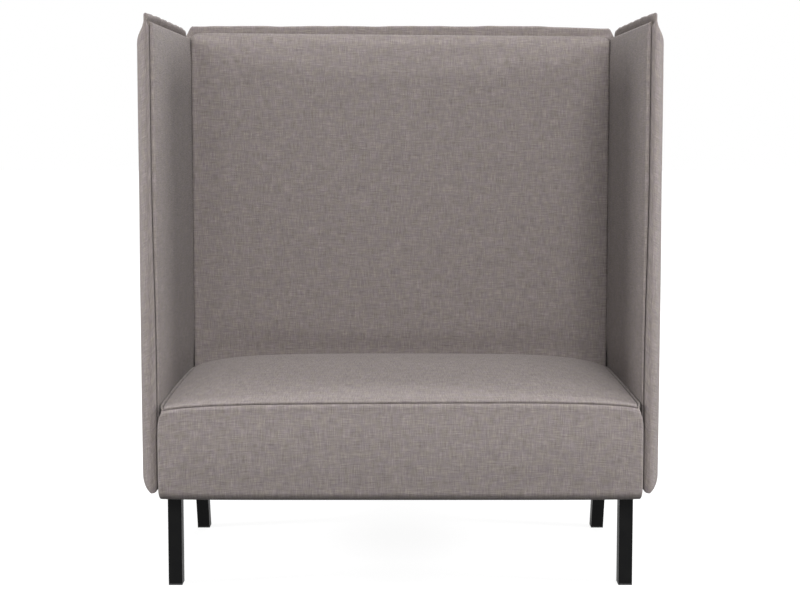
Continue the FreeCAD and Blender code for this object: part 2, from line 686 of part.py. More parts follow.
# Fasteners: each maker returns the pieces and the tools that cut their holes
def make_leg_screws():
    """Four coach screws up through each leg plate."""
    screws = []
    holes = []
    reach = PLATE_SIZE / 2 - SCREW_INSET
    for side in (1, -1):
        for y in (FRONT_LEG_Y, REAR_LEG_TOP_Y):
            for x_step in (-1, 1):
                for y_step in (-1, 1):
                    foot = Vector(side * PLATE_X + x_step * reach, y + y_step * reach, LEG_TOP_Z)
                    shank = rod(foot, Vector(0, 0, 1), SCREW_RADIUS, SCREW_LENGTH)
                    head = rod(foot - Vector(0, 0, SCREW_HEAD), Vector(0, 0, 1), SCREW_HEAD_RADIUS, SCREW_HEAD)
                    screws.append(shank.fuse(head))
                    holes.append(shank)
    return {"leg_screws": Part.makeCompound(screws)}, holes


def bolt_and_nut(head_face, direction, grip, nut_end):
    """A bolt whose head rests on head_face, and the tee nut that it runs into at the end of the grip.

    nut_end is where the nut's flange sits, measured along the bolt. Returns bolt, nut and their holes.
    """
    bolt = rod(head_face, direction, BOLT_RADIUS, grip)
    bolt = bolt.fuse(rod(head_face - direction * BOLT_HEAD, direction, BOLT_HEAD_RADIUS, BOLT_HEAD))
    barrel = rod(head_face + direction * (nut_end - NUT_BARREL), direction, NUT_RADIUS, NUT_BARREL)
    flange = rod(head_face + direction * nut_end, direction, NUT_FLANGE_RADIUS, NUT_FLANGE)
    nut = barrel.fuse(flange).cut(rod(head_face, direction, BOLT_RADIUS, 2 * nut_end))
    hole = rod(head_face, direction, BOLT_RADIUS, nut_end - NUT_BARREL)
    return bolt, nut, [hole, barrel, flange]


def make_base_bolts():
    """Bolts from inside the seat box into the side boards and the back's bottom rail."""
    side_bolts = []
    side_nuts = []
    back_bolts = []
    back_nuts = []
    holes = []
    rail_length = RAIL_REAR_Y - RAIL_FRONT_Y
    for side in (1, -1):
        for share in SIDE_BOLT_PLACES:
            start = Vector(side * RAIL_INNER_X, RAIL_FRONT_Y + share * rail_length, BASE_BOLT_Z)
            reach = BOARD_OUTER_X - RAIL_INNER_X
            bolt, nut, cuts = bolt_and_nut(start, Vector(side, 0, 0), reach + NUT_FLANGE, reach)
            side_bolts.append(bolt)
            side_nuts.append(nut)
            holes += cuts
    for share in BACK_BOLT_PLACES:
        start = Vector(share * POST_INNER_X, RAIL_REAR_Y, BASE_BOLT_Z)
        reach = FRAME_REAR_Y - NUT_FLANGE - RAIL_REAR_Y
        bolt, nut, cuts = bolt_and_nut(start, Vector(0, 1, 0), reach + NUT_FLANGE, reach)
        back_bolts.append(bolt)
        back_nuts.append(nut)
        holes += cuts
    pieces = {
        "side_bolts": Part.makeCompound(side_bolts),
        "side_tee_nuts": Part.makeCompound(side_nuts),
        "back_bolts": Part.makeCompound(back_bolts),
        "back_tee_nuts": Part.makeCompound(back_nuts),
    }
    return pieces, holes


def make_joint_bolts():
    """Bolts through the back posts into barrel nuts in the rear edges of the side boards."""
    bolts = []
    nuts = []
    holes = []
    forward = Vector(0, -1, 0)
    height = FRAME_TOP_Z - BOARD_BOTTOM_Z
    for side in (1, -1):
        for share in JOINT_HEIGHTS:
            x = side * BOARD_MIDDLE_X
            z = BOARD_BOTTOM_Z + share * height
            rear = Vector(x, FRAME_REAR_Y, z)
            head = rod(rear, forward, JOINT_HEAD_RADIUS, JOINT_HEAD)
            length = FRAME_REAR_Y - SIDE_REAR_Y + JOINT_BOLT_REACH
            shank = rod(rear, forward, JOINT_BOLT_RADIUS, length)
            barrel_start = Vector(x - SIDE_BOARD / 2, SIDE_REAR_Y - BARREL_NUT_INSET, z)
            barrel = rod(barrel_start, Vector(1, 0, 0), BARREL_NUT_RADIUS, SIDE_BOARD)
            bolts.append(head.fuse(shank))
            nuts.append(barrel.cut(shank))
            holes += [head, shank, barrel]
    pieces = {
        "corner_bolts": Part.makeCompound(bolts),
        "corner_barrel_nuts": Part.makeCompound(nuts),
    }
    return pieces, holes


def make_dowels():
    """Glued dowels in pairs, where the rails of the seat box and of the back frame meet."""
    dowels = []
    for side in (1, -1):
        for step in (-DOWEL_SPREAD, DOWEL_SPREAD):
            for y in (RAIL_FRONT_Y, RAIL_REAR_Y):
                middle = Vector(side * (BOX_HALF_X - RAIL / 2), y, RAIL_TOP_Z - SEAT_DOWEL_DROP + step)
                start = middle - Vector(0, DOWEL_LENGTH / 2, 0)
                dowels.append(rod(start, Vector(0, 1, 0), DOWEL_RADIUS, DOWEL_LENGTH))
            for z in (
                FRAME_TOP_Z - BACK_RAIL_HEIGHT / 2,
                MIDDLE_RAIL_HEIGHT,
                BOARD_BOTTOM_Z + BOTTOM_RAIL_HEIGHT / 2,
            ):
                start = Vector(side * POST_INNER_X - DOWEL_LENGTH / 2, FRAME_MIDDLE_Y, z + step)
                dowels.append(rod(start, Vector(1, 0, 0), DOWEL_RADIUS, DOWEL_LENGTH))
    return {"frame_dowels": Part.makeCompound(dowels)}, dowels


def drill(shape, holes):
    """The shape with every fastener hole that meets it cut out."""
    for hole in holes:
        if shape.BoundBox.intersect(hole.BoundBox):
            shape = shape.cut(hole)
    return shape


def main():
    pieces = {}
    pieces.update(make_seat())
    pieces.update(make_seat_box())
    pieces.update(make_springs())
    pieces.update(make_dust_covers())
    for name, shape in make_side_panel().items():
        pieces["right_" + name] = shape
        pieces["left_" + name] = mirrored(shape)
    pieces.update(make_back_upholstery())
    pieces.update(make_back_frame())
    pieces.update(make_legs())
    fasteners = {}
    holes = []
    for maker in (make_leg_screws, make_base_bolts, make_joint_bolts, make_dowels):
        made, cuts = maker()
        fasteners.update(made)
        holes += cuts
    drilled = {name: drill(shape, holes) for name, shape in pieces.items()}
    drilled.update(fasteners)
    os.makedirs("parts", exist_ok=True)
    for name, shape in drilled.items():
        shape.exportStep("parts/" + name + ".step")
        print(name, len(shape.Solids), "solids, valid", shape.isValid(), "volume", round(shape.Volume / 1000, 1))


main()
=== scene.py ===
"""High-back two-seat sofa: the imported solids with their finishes, and the sewn covers as modelled cloth.

Metres, +Z up, the sitter faces -Y, origin on the floor under the middle of the sofa. Right means right for
someone who looks at the front.
"""
import math

import bmesh
import bpy
import numpy as np
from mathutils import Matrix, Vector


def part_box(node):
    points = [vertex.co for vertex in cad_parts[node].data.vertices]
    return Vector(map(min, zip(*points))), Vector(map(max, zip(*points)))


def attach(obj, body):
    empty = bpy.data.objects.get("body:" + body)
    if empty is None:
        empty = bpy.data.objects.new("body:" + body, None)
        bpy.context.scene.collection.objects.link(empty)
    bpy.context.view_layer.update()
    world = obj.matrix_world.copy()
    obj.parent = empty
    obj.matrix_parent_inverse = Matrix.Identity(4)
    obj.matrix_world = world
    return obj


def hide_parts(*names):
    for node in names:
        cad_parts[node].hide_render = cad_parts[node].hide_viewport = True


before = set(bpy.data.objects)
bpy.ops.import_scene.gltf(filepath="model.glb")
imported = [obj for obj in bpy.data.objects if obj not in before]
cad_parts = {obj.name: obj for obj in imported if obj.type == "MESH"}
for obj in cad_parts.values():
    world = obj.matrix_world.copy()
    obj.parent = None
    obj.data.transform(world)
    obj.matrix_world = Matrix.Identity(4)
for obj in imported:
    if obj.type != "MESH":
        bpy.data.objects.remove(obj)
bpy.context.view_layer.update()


# Seat box and back frame: planed beech rails, posts and leg blocks, glued and dowelled at their joints.
# They stay unfinished, because the upholstery hides them.
class Value:
    """A shader socket. Arithmetic on it adds Math nodes, and a plain number may stand on either side."""

    def __init__(self, finish, socket):
        self.finish = finish
        self.socket = socket

    def output(self, name):
        """Another output of the same node."""
        return Value(self.finish, self.socket.node.outputs[name])

    def math(self, operation, *others):
        return self.finish.node("Math", {"operation": operation}, dict(enumerate((self, *others))))

    def __add__(self, other):
        return self.math("ADD", other)

    def __sub__(self, other):
        return self.math("SUBTRACT", other)

    def __mul__(self, other):
        return self.math("MULTIPLY", other)

    def __truediv__(self, other):
        return self.math("DIVIDE", other)

    def __rsub__(self, other):
        return self.finish.node("Math", {"operation": "SUBTRACT"}, {0: other, 1: self})

    def __rtruediv__(self, other):
        return self.finish.node("Math", {"operation": "DIVIDE"}, {0: other, 1: self})

    __radd__ = __add__
    __rmul__ = __mul__


class Finish:
    """A material, or the world, written as expressions on the values of its nodes."""

    def __init__(self, name, constants, blocks=bpy.data.materials, shader="Principled BSDF"):
        self.block = blocks.new(name)
        self.block.use_nodes = True
        self.tree = self.block.node_tree
        self.shader = self.tree.nodes[shader]
        for socket, value in constants.items():
            self.shader.inputs[socket].default_value = value

    def node(self, kind, settings=None, inputs=None, output=0):
        """A node of a kind: its settings are set first, then its sockets get their values or links."""
        made = self.tree.nodes.new("ShaderNode" + kind)
        for setting, value in (settings or {}).items():
            if setting == "stops":
                stops = made.color_ramp.elements
                while len(stops) < len(value):
                    stops.new(1.0)
                for stop, (place, colour) in zip(stops, value):
                    stop.position = place
                    stop.color = colour
            else:
                setattr(made, setting, value)
        for socket, value in (inputs or {}).items():
            self.feed(made, socket, value)
        return Value(self, made.outputs[output])

    def feed(self, node, socket, value):
        """Link a value to a socket, or set a plain one."""
        if isinstance(value, Value):
            self.tree.links.new(value.socket, node.inputs[socket])
        else:
            node.inputs[socket].default_value = value

    def show(self, feeds):
        """Feed the shader's own sockets, and return the finished block."""
        for socket, value in feeds.items():
            self.feed(self.shader, socket, value)
        return self.block

    def surface(self, colour, roughness, normal=None):
        """Feed what varies over a surface, and return the material."""
        feeds = {"Base Color": colour, "Roughness": roughness, "Normal": normal}
        return self.show({socket: value for socket, value in feeds.items() if value})

    def noise(self, place, scale=1.0, detail=2.0, roughness=0.5):
        """Soft noise from about 0.3 to 0.7."""
        return self.node(
            "TexNoise", inputs={"Vector": place, "Scale": scale, "Detail": detail, "Roughness": roughness}
        )

    def grain(self, scale, detail=2.0, roughness=0.5):
        """Noise in the piece's own coordinates, with a scale for each axis or one for all."""
        here = self.node("TexCoord", output="Object")
        place = self.node("Mapping", inputs={"Vector": here, "Scale": np.broadcast_to(scale, 3).tolist()})
        return self.noise(place, 1.0, detail, roughness)

    def ramp(self, value, stops):
        """A colour for each value."""
        return self.node("ValToRGB", {"stops": stops}, {"Fac": value})

    def bump(self, height, depth, strength):
        """A surface normal for a height from 0 to 1."""
        return self.node("Bump", inputs={"Height": height, "Distance": depth, "Strength": strength})


def tint(red, green, blue):
    """The linear colour of a display colour given in 0 to 255: c / 12.92, or ((c + 0.055) / 1.055) to 2.4."""
    share = np.array((red, green, blue)) / 255
    linear = np.where(share <= 0.04045, share / 12.92, ((share + 0.055) / 1.055) ** 2.4)
    return (*linear.tolist(), 1.0)


def dress(material, *nodes):
    """Give CAD nodes a finish."""
    for node in nodes:
        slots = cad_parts[node].data.materials
        slots.clear()
        slots.append(material)


def planed_beech(name, grain_axis):
    """Pale pinkish wood with slow bands and short dark flecks, both drawn out along one axis."""
    wood = Finish(name, {"Specular IOR Level": 0.3})
    band_scale = [34.0, 34.0, 34.0]
    band_scale[grain_axis] = 1.6
    fleck_scale = [420.0, 420.0, 420.0]
    fleck_scale[grain_axis] = 60.0
    bands = wood.grain(band_scale, detail=4.0, roughness=0.6)
    flecks = wood.grain(fleck_scale, detail=1.0)
    tone = bands * 0.75 + flecks * 0.25
    colour = wood.ramp(
        tone, ((0.34, tint(160, 118, 84)), (0.5, tint(190, 150, 112)), (0.66, tint(212, 178, 140)))
    )
    return wood.surface(colour, 0.5 + 0.25 * flecks, wood.bump(tone, 0.0004, 0.3))


dress(
    planed_beech("beech_across", 0), "seat_front_rail", "seat_rear_rail", "back_top_rail", "back_middle_rail",
    "back_bottom_rail",
)
dress(
    planed_beech("beech_deep", 1), "seat_left_rail", "seat_right_rail", "seat_centre_rail", "seat_leg_blocks",
    "frame_dowels",
)
dress(planed_beech("beech_upright", 2), "back_left_post", "back_right_post")


# Side boards: 12 mm birch plywood cut to shape, with the veneers showing as stripes on the edges.
# They carry the foam and covers of the side panels and bolt to the seat box and the back posts.
PLY = 0.0015


def birch_plywood():
    """Pale veneer with upright grain, and dark glue lines wherever the sheet's thickness shows."""
    sheet = Finish("birch_plywood", {"Specular IOR Level": 0.3})
    place = sheet.node("TexCoord", output="Object")
    depth = sheet.node("SeparateXYZ", inputs={0: place})
    veneer = (depth / (2 * PLY)).math("FRACT").math("LESS_THAN", 0.5)
    grain = sheet.grain((70.0, 70.0, 2.4), detail=4.0, roughness=0.6)
    tone = grain * 0.8 + veneer * 0.12
    colour = sheet.ramp(
        tone, ((0.3, tint(170, 134, 92)), (0.46, tint(202, 170, 126)), (0.62, tint(222, 196, 154)))
    )
    return sheet.surface(colour, 0.55 + 0.2 * grain, sheet.bump(grain, 0.0003, 0.3))


dress(birch_plywood(), "left_side_board", "right_side_board")


# Back sheet: smooth brown hardboard, stapled to the rear of the back frame.
# It closes the frame behind and gives the rear foam an even face to lie on.
def smooth_hardboard():
    """Pressed brown fibres: fine specks over slow clouds."""
    sheet = Finish("smooth_hardboard", {"Specular IOR Level": 0.4})
    specks = sheet.grain(900.0, detail=3.0)
    clouds = sheet.grain(14.0)
    tone = specks * 0.6 + clouds * 0.4
    colour = sheet.ramp(tone, ((0.36, tint(74, 48, 28)), (0.62, tint(122, 86, 54))))
    return sheet.surface(colour, 0.4 + 0.3 * specks)


dress(smooth_hardboard(), "back_hardboard")


# Seat springs: zigzag spring wire from the front rail to the rear rail, held by folded steel clips.
# The wire is oiled and dark from its heat treatment.
def oiled_spring_steel():
    """Dark bluish steel, smeared with oil."""
    steel = Finish("oiled_spring_steel", {"Metallic": 1.0})
    smears = steel.grain(90.0, detail=3.0)
    colour = steel.ramp(smears, ((0.35, tint(92, 94, 99)), (0.65, tint(138, 138, 140))))
    return steel.surface(colour, 0.25 + 0.35 * smears)


dress(oiled_spring_steel(), "seat_springs", "seat_spring_clips")


# Back webbing: seven woven elastic straps, stretched from post to post and stapled.
# They carry the front foam of the back and give a little when someone leans on it.
STRAP_RIB = 0.004


def elastic_webbing():
    """Black woven rubber strap, ribbed along its length."""
    strap = Finish("elastic_webbing", {"Sheen Weight": 0.2})
    place = strap.node("TexCoord", output="Object")
    height = strap.node("SeparateXYZ", inputs={0: place}, output="Z")
    rib = (height / STRAP_RIB).math("FRACT").math("PINGPONG", 0.5) * 2.0
    fuzz = strap.grain(500.0)
    colour = strap.ramp(rib * 0.5 + fuzz * 0.5, ((0.25, tint(22, 22, 24)), (0.75, tint(58, 57, 58))))
    return strap.surface(colour, 0.7 + 0.2 * fuzz, strap.bump(rib, 0.0006, 0.6))


dress(elastic_webbing(), "back_webbing")


# Spring felt: a grey needled pad of waste fibre over the springs, held down by the foam above it.
# It keeps the wire from cutting into the seat foam.
def needled_felt():
    """Matted grey waste fibre in several shades."""
    felt = Finish("needled_felt", {"Sheen Weight": 0.4})
    fibres = felt.grain(260.0, detail=5.0, roughness=0.7)
    colour = felt.ramp(
        fibres, ((0.35, tint(70, 72, 78)), (0.5, tint(98, 99, 103)), (0.64, tint(136, 130, 126)))
    )
    return felt.surface(colour, 0.85 + 0.15 * fibres, felt.bump(fibres, 0.0015, 0.6))


dress(needled_felt(), "seat_spring_felt")


# Dust cloths: thin black non-woven sheets, stapled under the seat box and across the foot of the back.
# They hide the frame from below and keep dust out of it.
DIMPLE_SCALE = 420.0


def black_dust_cloth():
    """Spun black fibre, pressed with a small dimple pattern."""
    sheet = Finish("black_dust_cloth", {"Specular IOR Level": 0.2})
    place = sheet.node("TexCoord", output="Object")
    dimples = sheet.node("TexVoronoi", inputs={"Vector": place, "Scale": DIMPLE_SCALE, "Randomness": 0.35})
    fibres = sheet.grain(300.0, detail=4.0)
    colour = sheet.ramp(fibres * 0.7 + dimples * 0.4, ((0.3, tint(20, 20, 21)), (0.7, tint(42, 42, 43))))
    return sheet.surface(colour, 0.75 + 0.2 * fibres, sheet.bump(dimples, 0.0004, 0.5))


dress(black_dust_cloth(), "seat_dust_cover", "back_dust_cover")


# Fasteners: zinc-plated steel bolts with tee nuts and barrel nuts, and coach screws through the leg plates.
# The bolts tie the seat box to the side boards and the back, and the back's posts to the side boards.
def zinc_plate():
    """Bright zinc, slightly clouded."""
    plate = Finish("zinc_plate", {"Metallic": 1.0})
    cloud = plate.grain(160.0, detail=3.0)
    colour = plate.ramp(cloud, ((0.35, tint(168, 170, 172)), (0.65, tint(204, 203, 198))))
    return plate.surface(colour, 0.24 + 0.25 * cloud)


dress(
    zinc_plate(), "leg_screws", "side_bolts", "side_tee_nuts", "back_bolts", "back_tee_nuts", "corner_bolts",
    "corner_barrel_nuts",
)


# Legs: 32 mm square steel tube welded to screw plates, all powder coated satin black.
# The front pair is upright and the rear pair leans back.
def satin_black_powder():
    """Baked black powder: a fine orange peel that breaks up its gloss."""
    coat = Finish("satin_black_powder", {"Specular IOR Level": 0.09})
    peel = coat.grain(1400.0)
    drift = coat.grain(26.0)
    colour = coat.ramp(drift, ((0.35, tint(11, 11, 12)), (0.65, tint(16, 16, 16))))
    return coat.surface(colour, 0.38 + 0.12 * drift, coat.bump(peel, 0.00015, 0.35))


dress(
    satin_black_powder(), "front_left_leg", "front_right_leg", "rear_left_leg", "rear_right_leg", "leg_plates"
)


# Glides: black nylon caps pushed into the open feet of the legs, with a matt moulded skin.
# The sofa stands on them.
def black_nylon():
    """Moulded nylon, a little scuffed."""
    nylon = Finish("black_nylon", {"Specular IOR Level": 0.4})
    scuffs = nylon.grain((220.0, 220.0, 60.0), detail=4.0, roughness=0.65)
    colour = nylon.ramp(scuffs, ((0.4, tint(22, 22, 23)), (0.7, tint(44, 44, 44))))
    return nylon.surface(colour, 0.42 + 0.3 * scuffs)


dress(black_nylon(), "floor_glides")


# Seat: foam over the felt, in one sewn cover with a seam along the front edge and along both sides.
# The cover is drawn down over the box and stapled underneath, so the top and front swell between the seams.
YARN_PITCH = 0.0013
YARN_WANDER = 0.9  # pitches by which a yarn strays
YARN_APART = 7.31  # in noise, from one yarn to the next
WEFT_APART = 40.0  # in noise, from the warp to the weft
SLUB_LENGTH = 0.028  # a thicker or paler stretch of yarn
SLUB_WIDTH = 0.0017
SLUB_SHARE = 0.42
BLOTCH_SHARE = 0.10
YARN_DARK = tint(109, 102, 101)
YARN_MIDDLE = tint(128, 121, 119)
YARN_LIGHT = tint(148, 141, 138)
YARN_COOL = tint(253, 250, 255)
YARN_WARM = tint(255, 254, 247)
SEAM_SHADE = 0.68  # painted shade: how much darker the cloth's colour is made in a seam's groove and under the hem


def melange_weave():
    """Plain weave of melange yarn on the cloth's own UV, in metres.

    Warp and weft cross at every pitch, the upper one changing from crossing to crossing. Each yarn has its own
    noise, drawn out along it, which picks its shade, and a round section, which gives the height. The colour is
    darkened towards each yarn's sides as painted shade between the yarns. In the seams' grooves and under the
    seat's hem, where the attribute "seam" nears 1, the colour is darkened further as painted shade.
    """
    cloth = Finish("melange_weave", {"Sheen Weight": 0.08, "Sheen Roughness": 0.5, "Specular IOR Level": 0.10})
    flat = cloth.node("UVMap", {"uv_map": "weave"})
    split = cloth.node("SeparateXYZ", inputs={0: flat})
    wander = cloth.noise(flat, scale=60.0, detail=1.0) - 0.5
    across = split / YARN_PITCH + wander * YARN_WANDER
    along = split.output("Y") / YARN_PITCH - wander * YARN_WANDER
    warp = across.math("FLOOR")
    weft = along.math("FLOOR")
    over = (warp + weft).math("FLOORED_MODULO", 2.0)
    warp_side = across.math("FRACT") * 2.0 - 1.0
    weft_side = along.math("FRACT") * 2.0 - 1.0
    warp_round = 1.0 - warp_side * warp_side
    weft_round = 1.0 - weft_side * weft_side
    slub = YARN_PITCH / SLUB_LENGTH
    warp_place = cloth.node("CombineXYZ", inputs={0: warp * YARN_APART, 1: along * slub, 2: 0.0})
    weft_place = cloth.node("CombineXYZ", inputs={0: across * slub, 1: weft * YARN_APART, 2: WEFT_APART})
    warp_shade = cloth.noise(warp_place, detail=1.0)
    weft_shade = cloth.noise(weft_place, detail=1.0)
    shade = weft_shade + (warp_shade - weft_shade) * over
    height = weft_round + (warp_round - weft_round) * over
    wide = cloth.node("Mapping", inputs={"Vector": flat, "Scale": (1 / SLUB_LENGTH, 1 / SLUB_WIDTH, 1.0)})
    tall = cloth.node("Mapping", inputs={"Vector": flat, "Scale": (1 / SLUB_WIDTH, 1 / SLUB_LENGTH, 1.0)})
    slubs = cloth.noise(wide, detail=1.0) + cloth.noise(tall, detail=1.0) - 1.0
    blotch = cloth.noise(flat, scale=18.0, detail=3.0)
    colour = cloth.ramp(
        shade + slubs * SLUB_SHARE + (blotch - 0.5) * BLOTCH_SHARE,
        ((0.25, YARN_DARK), (0.5, YARN_MIDDLE), (0.75, YARN_LIGHT)),
    )
    patches = cloth.noise(flat, scale=55.0, detail=4.0, roughness=0.7)
    hue = cloth.ramp(patches, ((0.38, YARN_COOL), (0.62, YARN_WARM)))
    colour = cloth.node("VectorMath", {"operation": "MULTIPLY"}, {0: colour, 1: hue})
    # Painted shade: the colour is darkened towards the yarns' sides, and in seam grooves and under the hem where
    # "seam" nears 1.
    seam = cloth.node("Attribute", {"attribute_name": "seam"}, output="Fac")
    depth_shade = (0.84 + 0.24 * height) * (1.0 - SEAM_SHADE * seam)
    colour = cloth.node("VectorMath", {"operation": "SCALE"}, {0: colour, "Scale": depth_shade})
    return cloth.surface(colour, 0.95 - 0.12 * height, cloth.bump(height + shade * 0.6, 0.0005, 0.45))


fabric = melange_weave()

SPACING_TABLE = 6001
SPACING_GROWTH = 0.2  # of the distance from a mark


def spaced(low, high, marks, fine=0.0005, step=0.010):
    """Stations from low to high, fine apart at a mark and further apart with the distance from it, up to step."""
    table = np.linspace(low, high, SPACING_TABLE)
    nearest = np.min(np.abs(table[:, None] - np.array(marks)), axis=1)
    density = 1 / np.minimum(step, fine + SPACING_GROWTH * nearest)
    reach = np.append(0.0, np.cumsum((density[1:] + density[:-1]) / 2 * np.diff(table)))
    wanted = np.linspace(0.0, reach[-1], int(math.ceil(reach[-1])) + 1)
    return np.interp(wanted, reach, table)


def rounded_loop(corners, rounds, swells, arc_counts, line_counts):
    """Closed loops through rounded corners, one loop to a row.

    corners is (rows, corners, 2). At each corner the loop leaves the incoming line R tan(turn / 2) early and
    follows R (sin a, 1 - cos a) in that line's axes until it has turned onto the next line. Between corners it
    runs straight, or is pushed outwards by swells[line](s) at share s of the line. Returns the loops and the place
    of each column: twice the number of its corner, plus its share of the arc, or one more plus its share of the line.
    """
    rounds = np.broadcast_to(rounds, corners.shape[:2])
    ahead = np.roll(corners, -1, axis=1) - corners
    length = np.linalg.norm(ahead, axis=2, keepdims=True)
    ahead = ahead / length
    before = np.roll(ahead, 1, axis=1)
    cross = before[..., 0] * ahead[..., 1] - before[..., 1] * ahead[..., 0]
    turn = np.arctan2(-cross, np.sum(before * ahead, axis=2))
    spent = rounds * np.tan(np.abs(turn) / 2)
    inward = np.stack((before[..., 1], -before[..., 0]), axis=2) * np.sign(turn)[..., None]
    pieces = []
    places = []
    for number in range(corners.shape[1]):
        after = (number + 1) % corners.shape[1]
        radius = rounds[:, number, None, None]
        share = np.linspace(0.0, 1.0, arc_counts[number])
        angle = np.abs(turn[:, number, None]) * share
        start = corners[:, number] - before[:, number] * spent[:, number, None]
        arc = (
            start[:, None]
            + radius * np.sin(angle)[..., None] * before[:, number, None]
            + radius * (1 - np.cos(angle))[..., None] * inward[:, number, None]
        )
        pieces.append(arc)
        places.append(2 * number + share)
        share = np.linspace(0.0, 1.0, line_counts[number] + 2)[1:-1]
        leave = arc[:, -1]
        arrive = corners[:, after] - ahead[:, number] * spent[:, after, None]
        line = leave[:, None] + (arrive - leave)[:, None] * share[None, :, None]
        if number in swells:
            outward = np.stack((-ahead[:, number, 1], ahead[:, number, 0]), axis=1)
            line = line + outward[:, None] * swells[number](share)[..., None]
        pieces.append(line)
        places.append(2 * number + 1 + share)
    return np.concatenate(pieces, axis=1), np.concatenate(places)


def outline(rows, *points):
    """Corners for rounded_loop from pairs of y and z, each a number or one value to a row."""
    lines = [[np.broadcast_to(value, rows) for value in point] for point in points]
    return np.moveaxis(np.array(lines), 2, 0)


def set_across(x, loops):
    """Loops in y and z, each moved to its own x."""
    return np.concatenate((np.broadcast_to(x[:, None, None], (*loops.shape[:2], 1)), loops), axis=2)


def outward_normals(loops):
    """Unit normals of closed loops: the cross product of the steps along and across them."""
    along = np.roll(loops, -1, axis=1) - np.roll(loops, 1, axis=1)
    across = np.gradient(loops, axis=0)
    normal = np.cross(along, across)
    return normal / np.maximum(np.linalg.norm(normal, axis=2, keepdims=True), 1e-12)


def run_length(loops):
    """Distance along each closed loop to each of its columns, and at the end to its first column again."""
    steps = np.linalg.norm(np.roll(loops, -1, axis=1) - loops, axis=2)
    return np.concatenate((np.zeros((len(loops), 1)), np.cumsum(steps, axis=1)), axis=1)


def closed_skin(name, loops):
    """A mesh of quads between neighbouring loops, with a flat cap over the first and the last."""
    rows, columns = loops.shape[:2]
    here = np.arange(rows * columns).reshape(rows, columns)
    beside = np.roll(here, -1, axis=1)
    quads = np.stack((here[:-1], beside[:-1], beside[1:], here[1:]), axis=2).reshape(-1, 4)
    mesh = bpy.data.meshes.new(name)
    mesh.from_pydata(
        loops.reshape(-1, 3).tolist(), [], quads.tolist() + [here[0, ::-1].tolist(), here[-1].tolist()]
    )
    return mesh


def face_out(mesh, merge=0.0):
    """Turn the faces of a closed mesh outwards, after points within merge of each other are made one."""
    shell = bmesh.new()
    shell.from_mesh(mesh)
    if merge:
        bmesh.ops.remove_doubles(shell, verts=shell.verts, dist=merge)
    bmesh.ops.recalc_face_normals(shell, faces=shell.faces)
    shell.to_mesh(mesh)
    shell.free()


def placed(name, data):
    """A new object in the scene."""
    thing = bpy.data.objects.new(name, data)
    bpy.context.scene.collection.objects.link(thing)
    return thing


SHARP_FOLD = math.radians(62)
COINCIDENT = 1e-7


def sewn_cover(name, loops, weave_across, weave_along, nodes, seams=None):
    """A padded piece from closed loops, in the fabric, with its weave laid along and across the loops.

    weave_across is (rows,) and weave_along (rows, columns + 1), both in metres of cloth. seams is the painted shade
    for each point: 1 in a seam's groove and under the hem, 0 away from them; the fabric darkens its colour by it.
    """
    mesh = closed_skin(name, loops)
    if seams is not None:
        # The "seam" attribute is painted shade: the fabric's colour is darkened by it.
        mesh.attributes.new("seam", "FLOAT", "POINT").data.foreach_set("value", seams.ravel())
    across = np.broadcast_to(weave_across[:, None], weave_along.shape)
    cloth = np.stack((across, weave_along), axis=2)
    quads = np.stack((cloth[:-1, :-1], cloth[:-1, 1:], cloth[1:, 1:], cloth[1:, :-1]), axis=2)
    caps = (cloth[0, -2::-1], cloth[-1, :-1])
    corners = np.concatenate((quads.reshape(-1, 2), *caps))
    mesh.uv_layers.new(name="weave").data.foreach_set("uv", corners.ravel())
    face_out(mesh, COINCIDENT)
    mesh.shade_smooth()
    mesh.set_sharp_from_angle(angle=SHARP_FOLD)
    mesh.materials.append(fabric)
    cover = placed(name, mesh)
    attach(cover, "root")
    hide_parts(*nodes)


def spline_weights(at, count, closed):
    """Cubic B-spline weights of count even knots at fractional knot numbers, as a matrix."""
    base = np.floor(at).astype(int)
    f = (at - base)[:, None]
    share = np.hstack((
        (1 - f) ** 3 / 6, (3 * f**3 - 6 * f**2 + 4) / 6, (-3 * f**3 + 3 * f**2 + 3 * f + 1) / 6, f**3 / 6
    ))
    knot = base[:, None] + np.arange(-1, 3)
    knot = knot % count if closed else np.clip(knot, 0, count - 1)
    weights = np.zeros((len(at), count))
    np.add.at(weights, (np.arange(len(at))[:, None], knot), share)
    return weights


STUFFING = {
    "quality": 6, "mass": 0.3, "tension_stiffness": 30.0, "compression_stiffness": 30.0, "shear_stiffness": 15.0,
    "bending_stiffness": 2.0, "use_pressure": True, "uniform_pressure_force": 4.0, "vertex_group_mass": "held",
}
STUFFING_FRAMES = 20


def stuffed(loops, across, places, loose, loose_half, cap):
    """How far each point of a closed cover moves when the stuffing presses it out.

    Blender's cloth blows up a coarse skin of the loops under even pressure, without gravity, and no point is
    let further than cap. Only the stretches in loose can move, out to loose_half from the middle.
    """
    moves = np.any([(places >= start) & (places <= end) for start, end in loose], axis=0)
    held = ~moves | (np.abs(across) > loose_half)[:, None]
    mesh = closed_skin("stuffing", loops)
    skin = placed("stuffing", mesh)
    scene = bpy.context.scene
    pins = skin.vertex_groups.new(name="held")
    pins.add(np.flatnonzero(held.ravel()).tolist(), 1.0, "REPLACE")
    face_out(mesh)
    cloth = skin.modifiers.new("stuffing", "CLOTH")
    for setting, value in STUFFING.items():
        setattr(cloth.settings, setting, value)
    cloth.settings.effector_weights.gravity = 0.0
    cloth.point_cache.frame_start = 1
    cloth.point_cache.frame_end = STUFFING_FRAMES
    for number in range(1, STUFFING_FRAMES + 1):
        scene.frame_set(number)
    made = skin.evaluated_get(bpy.context.evaluated_depsgraph_get())
    points = np.empty(loops.size)
    made.data.vertices.foreach_get("co", points)
    moved = points.reshape(loops.shape) - loops
    far = np.linalg.norm(moved, axis=2, keepdims=True)
    bpy.data.objects.remove(skin)
    bpy.data.meshes.remove(mesh)
    scene.frame_set(1)
    return moved * np.minimum(1.0, cap / np.maximum(far, 1e-9))


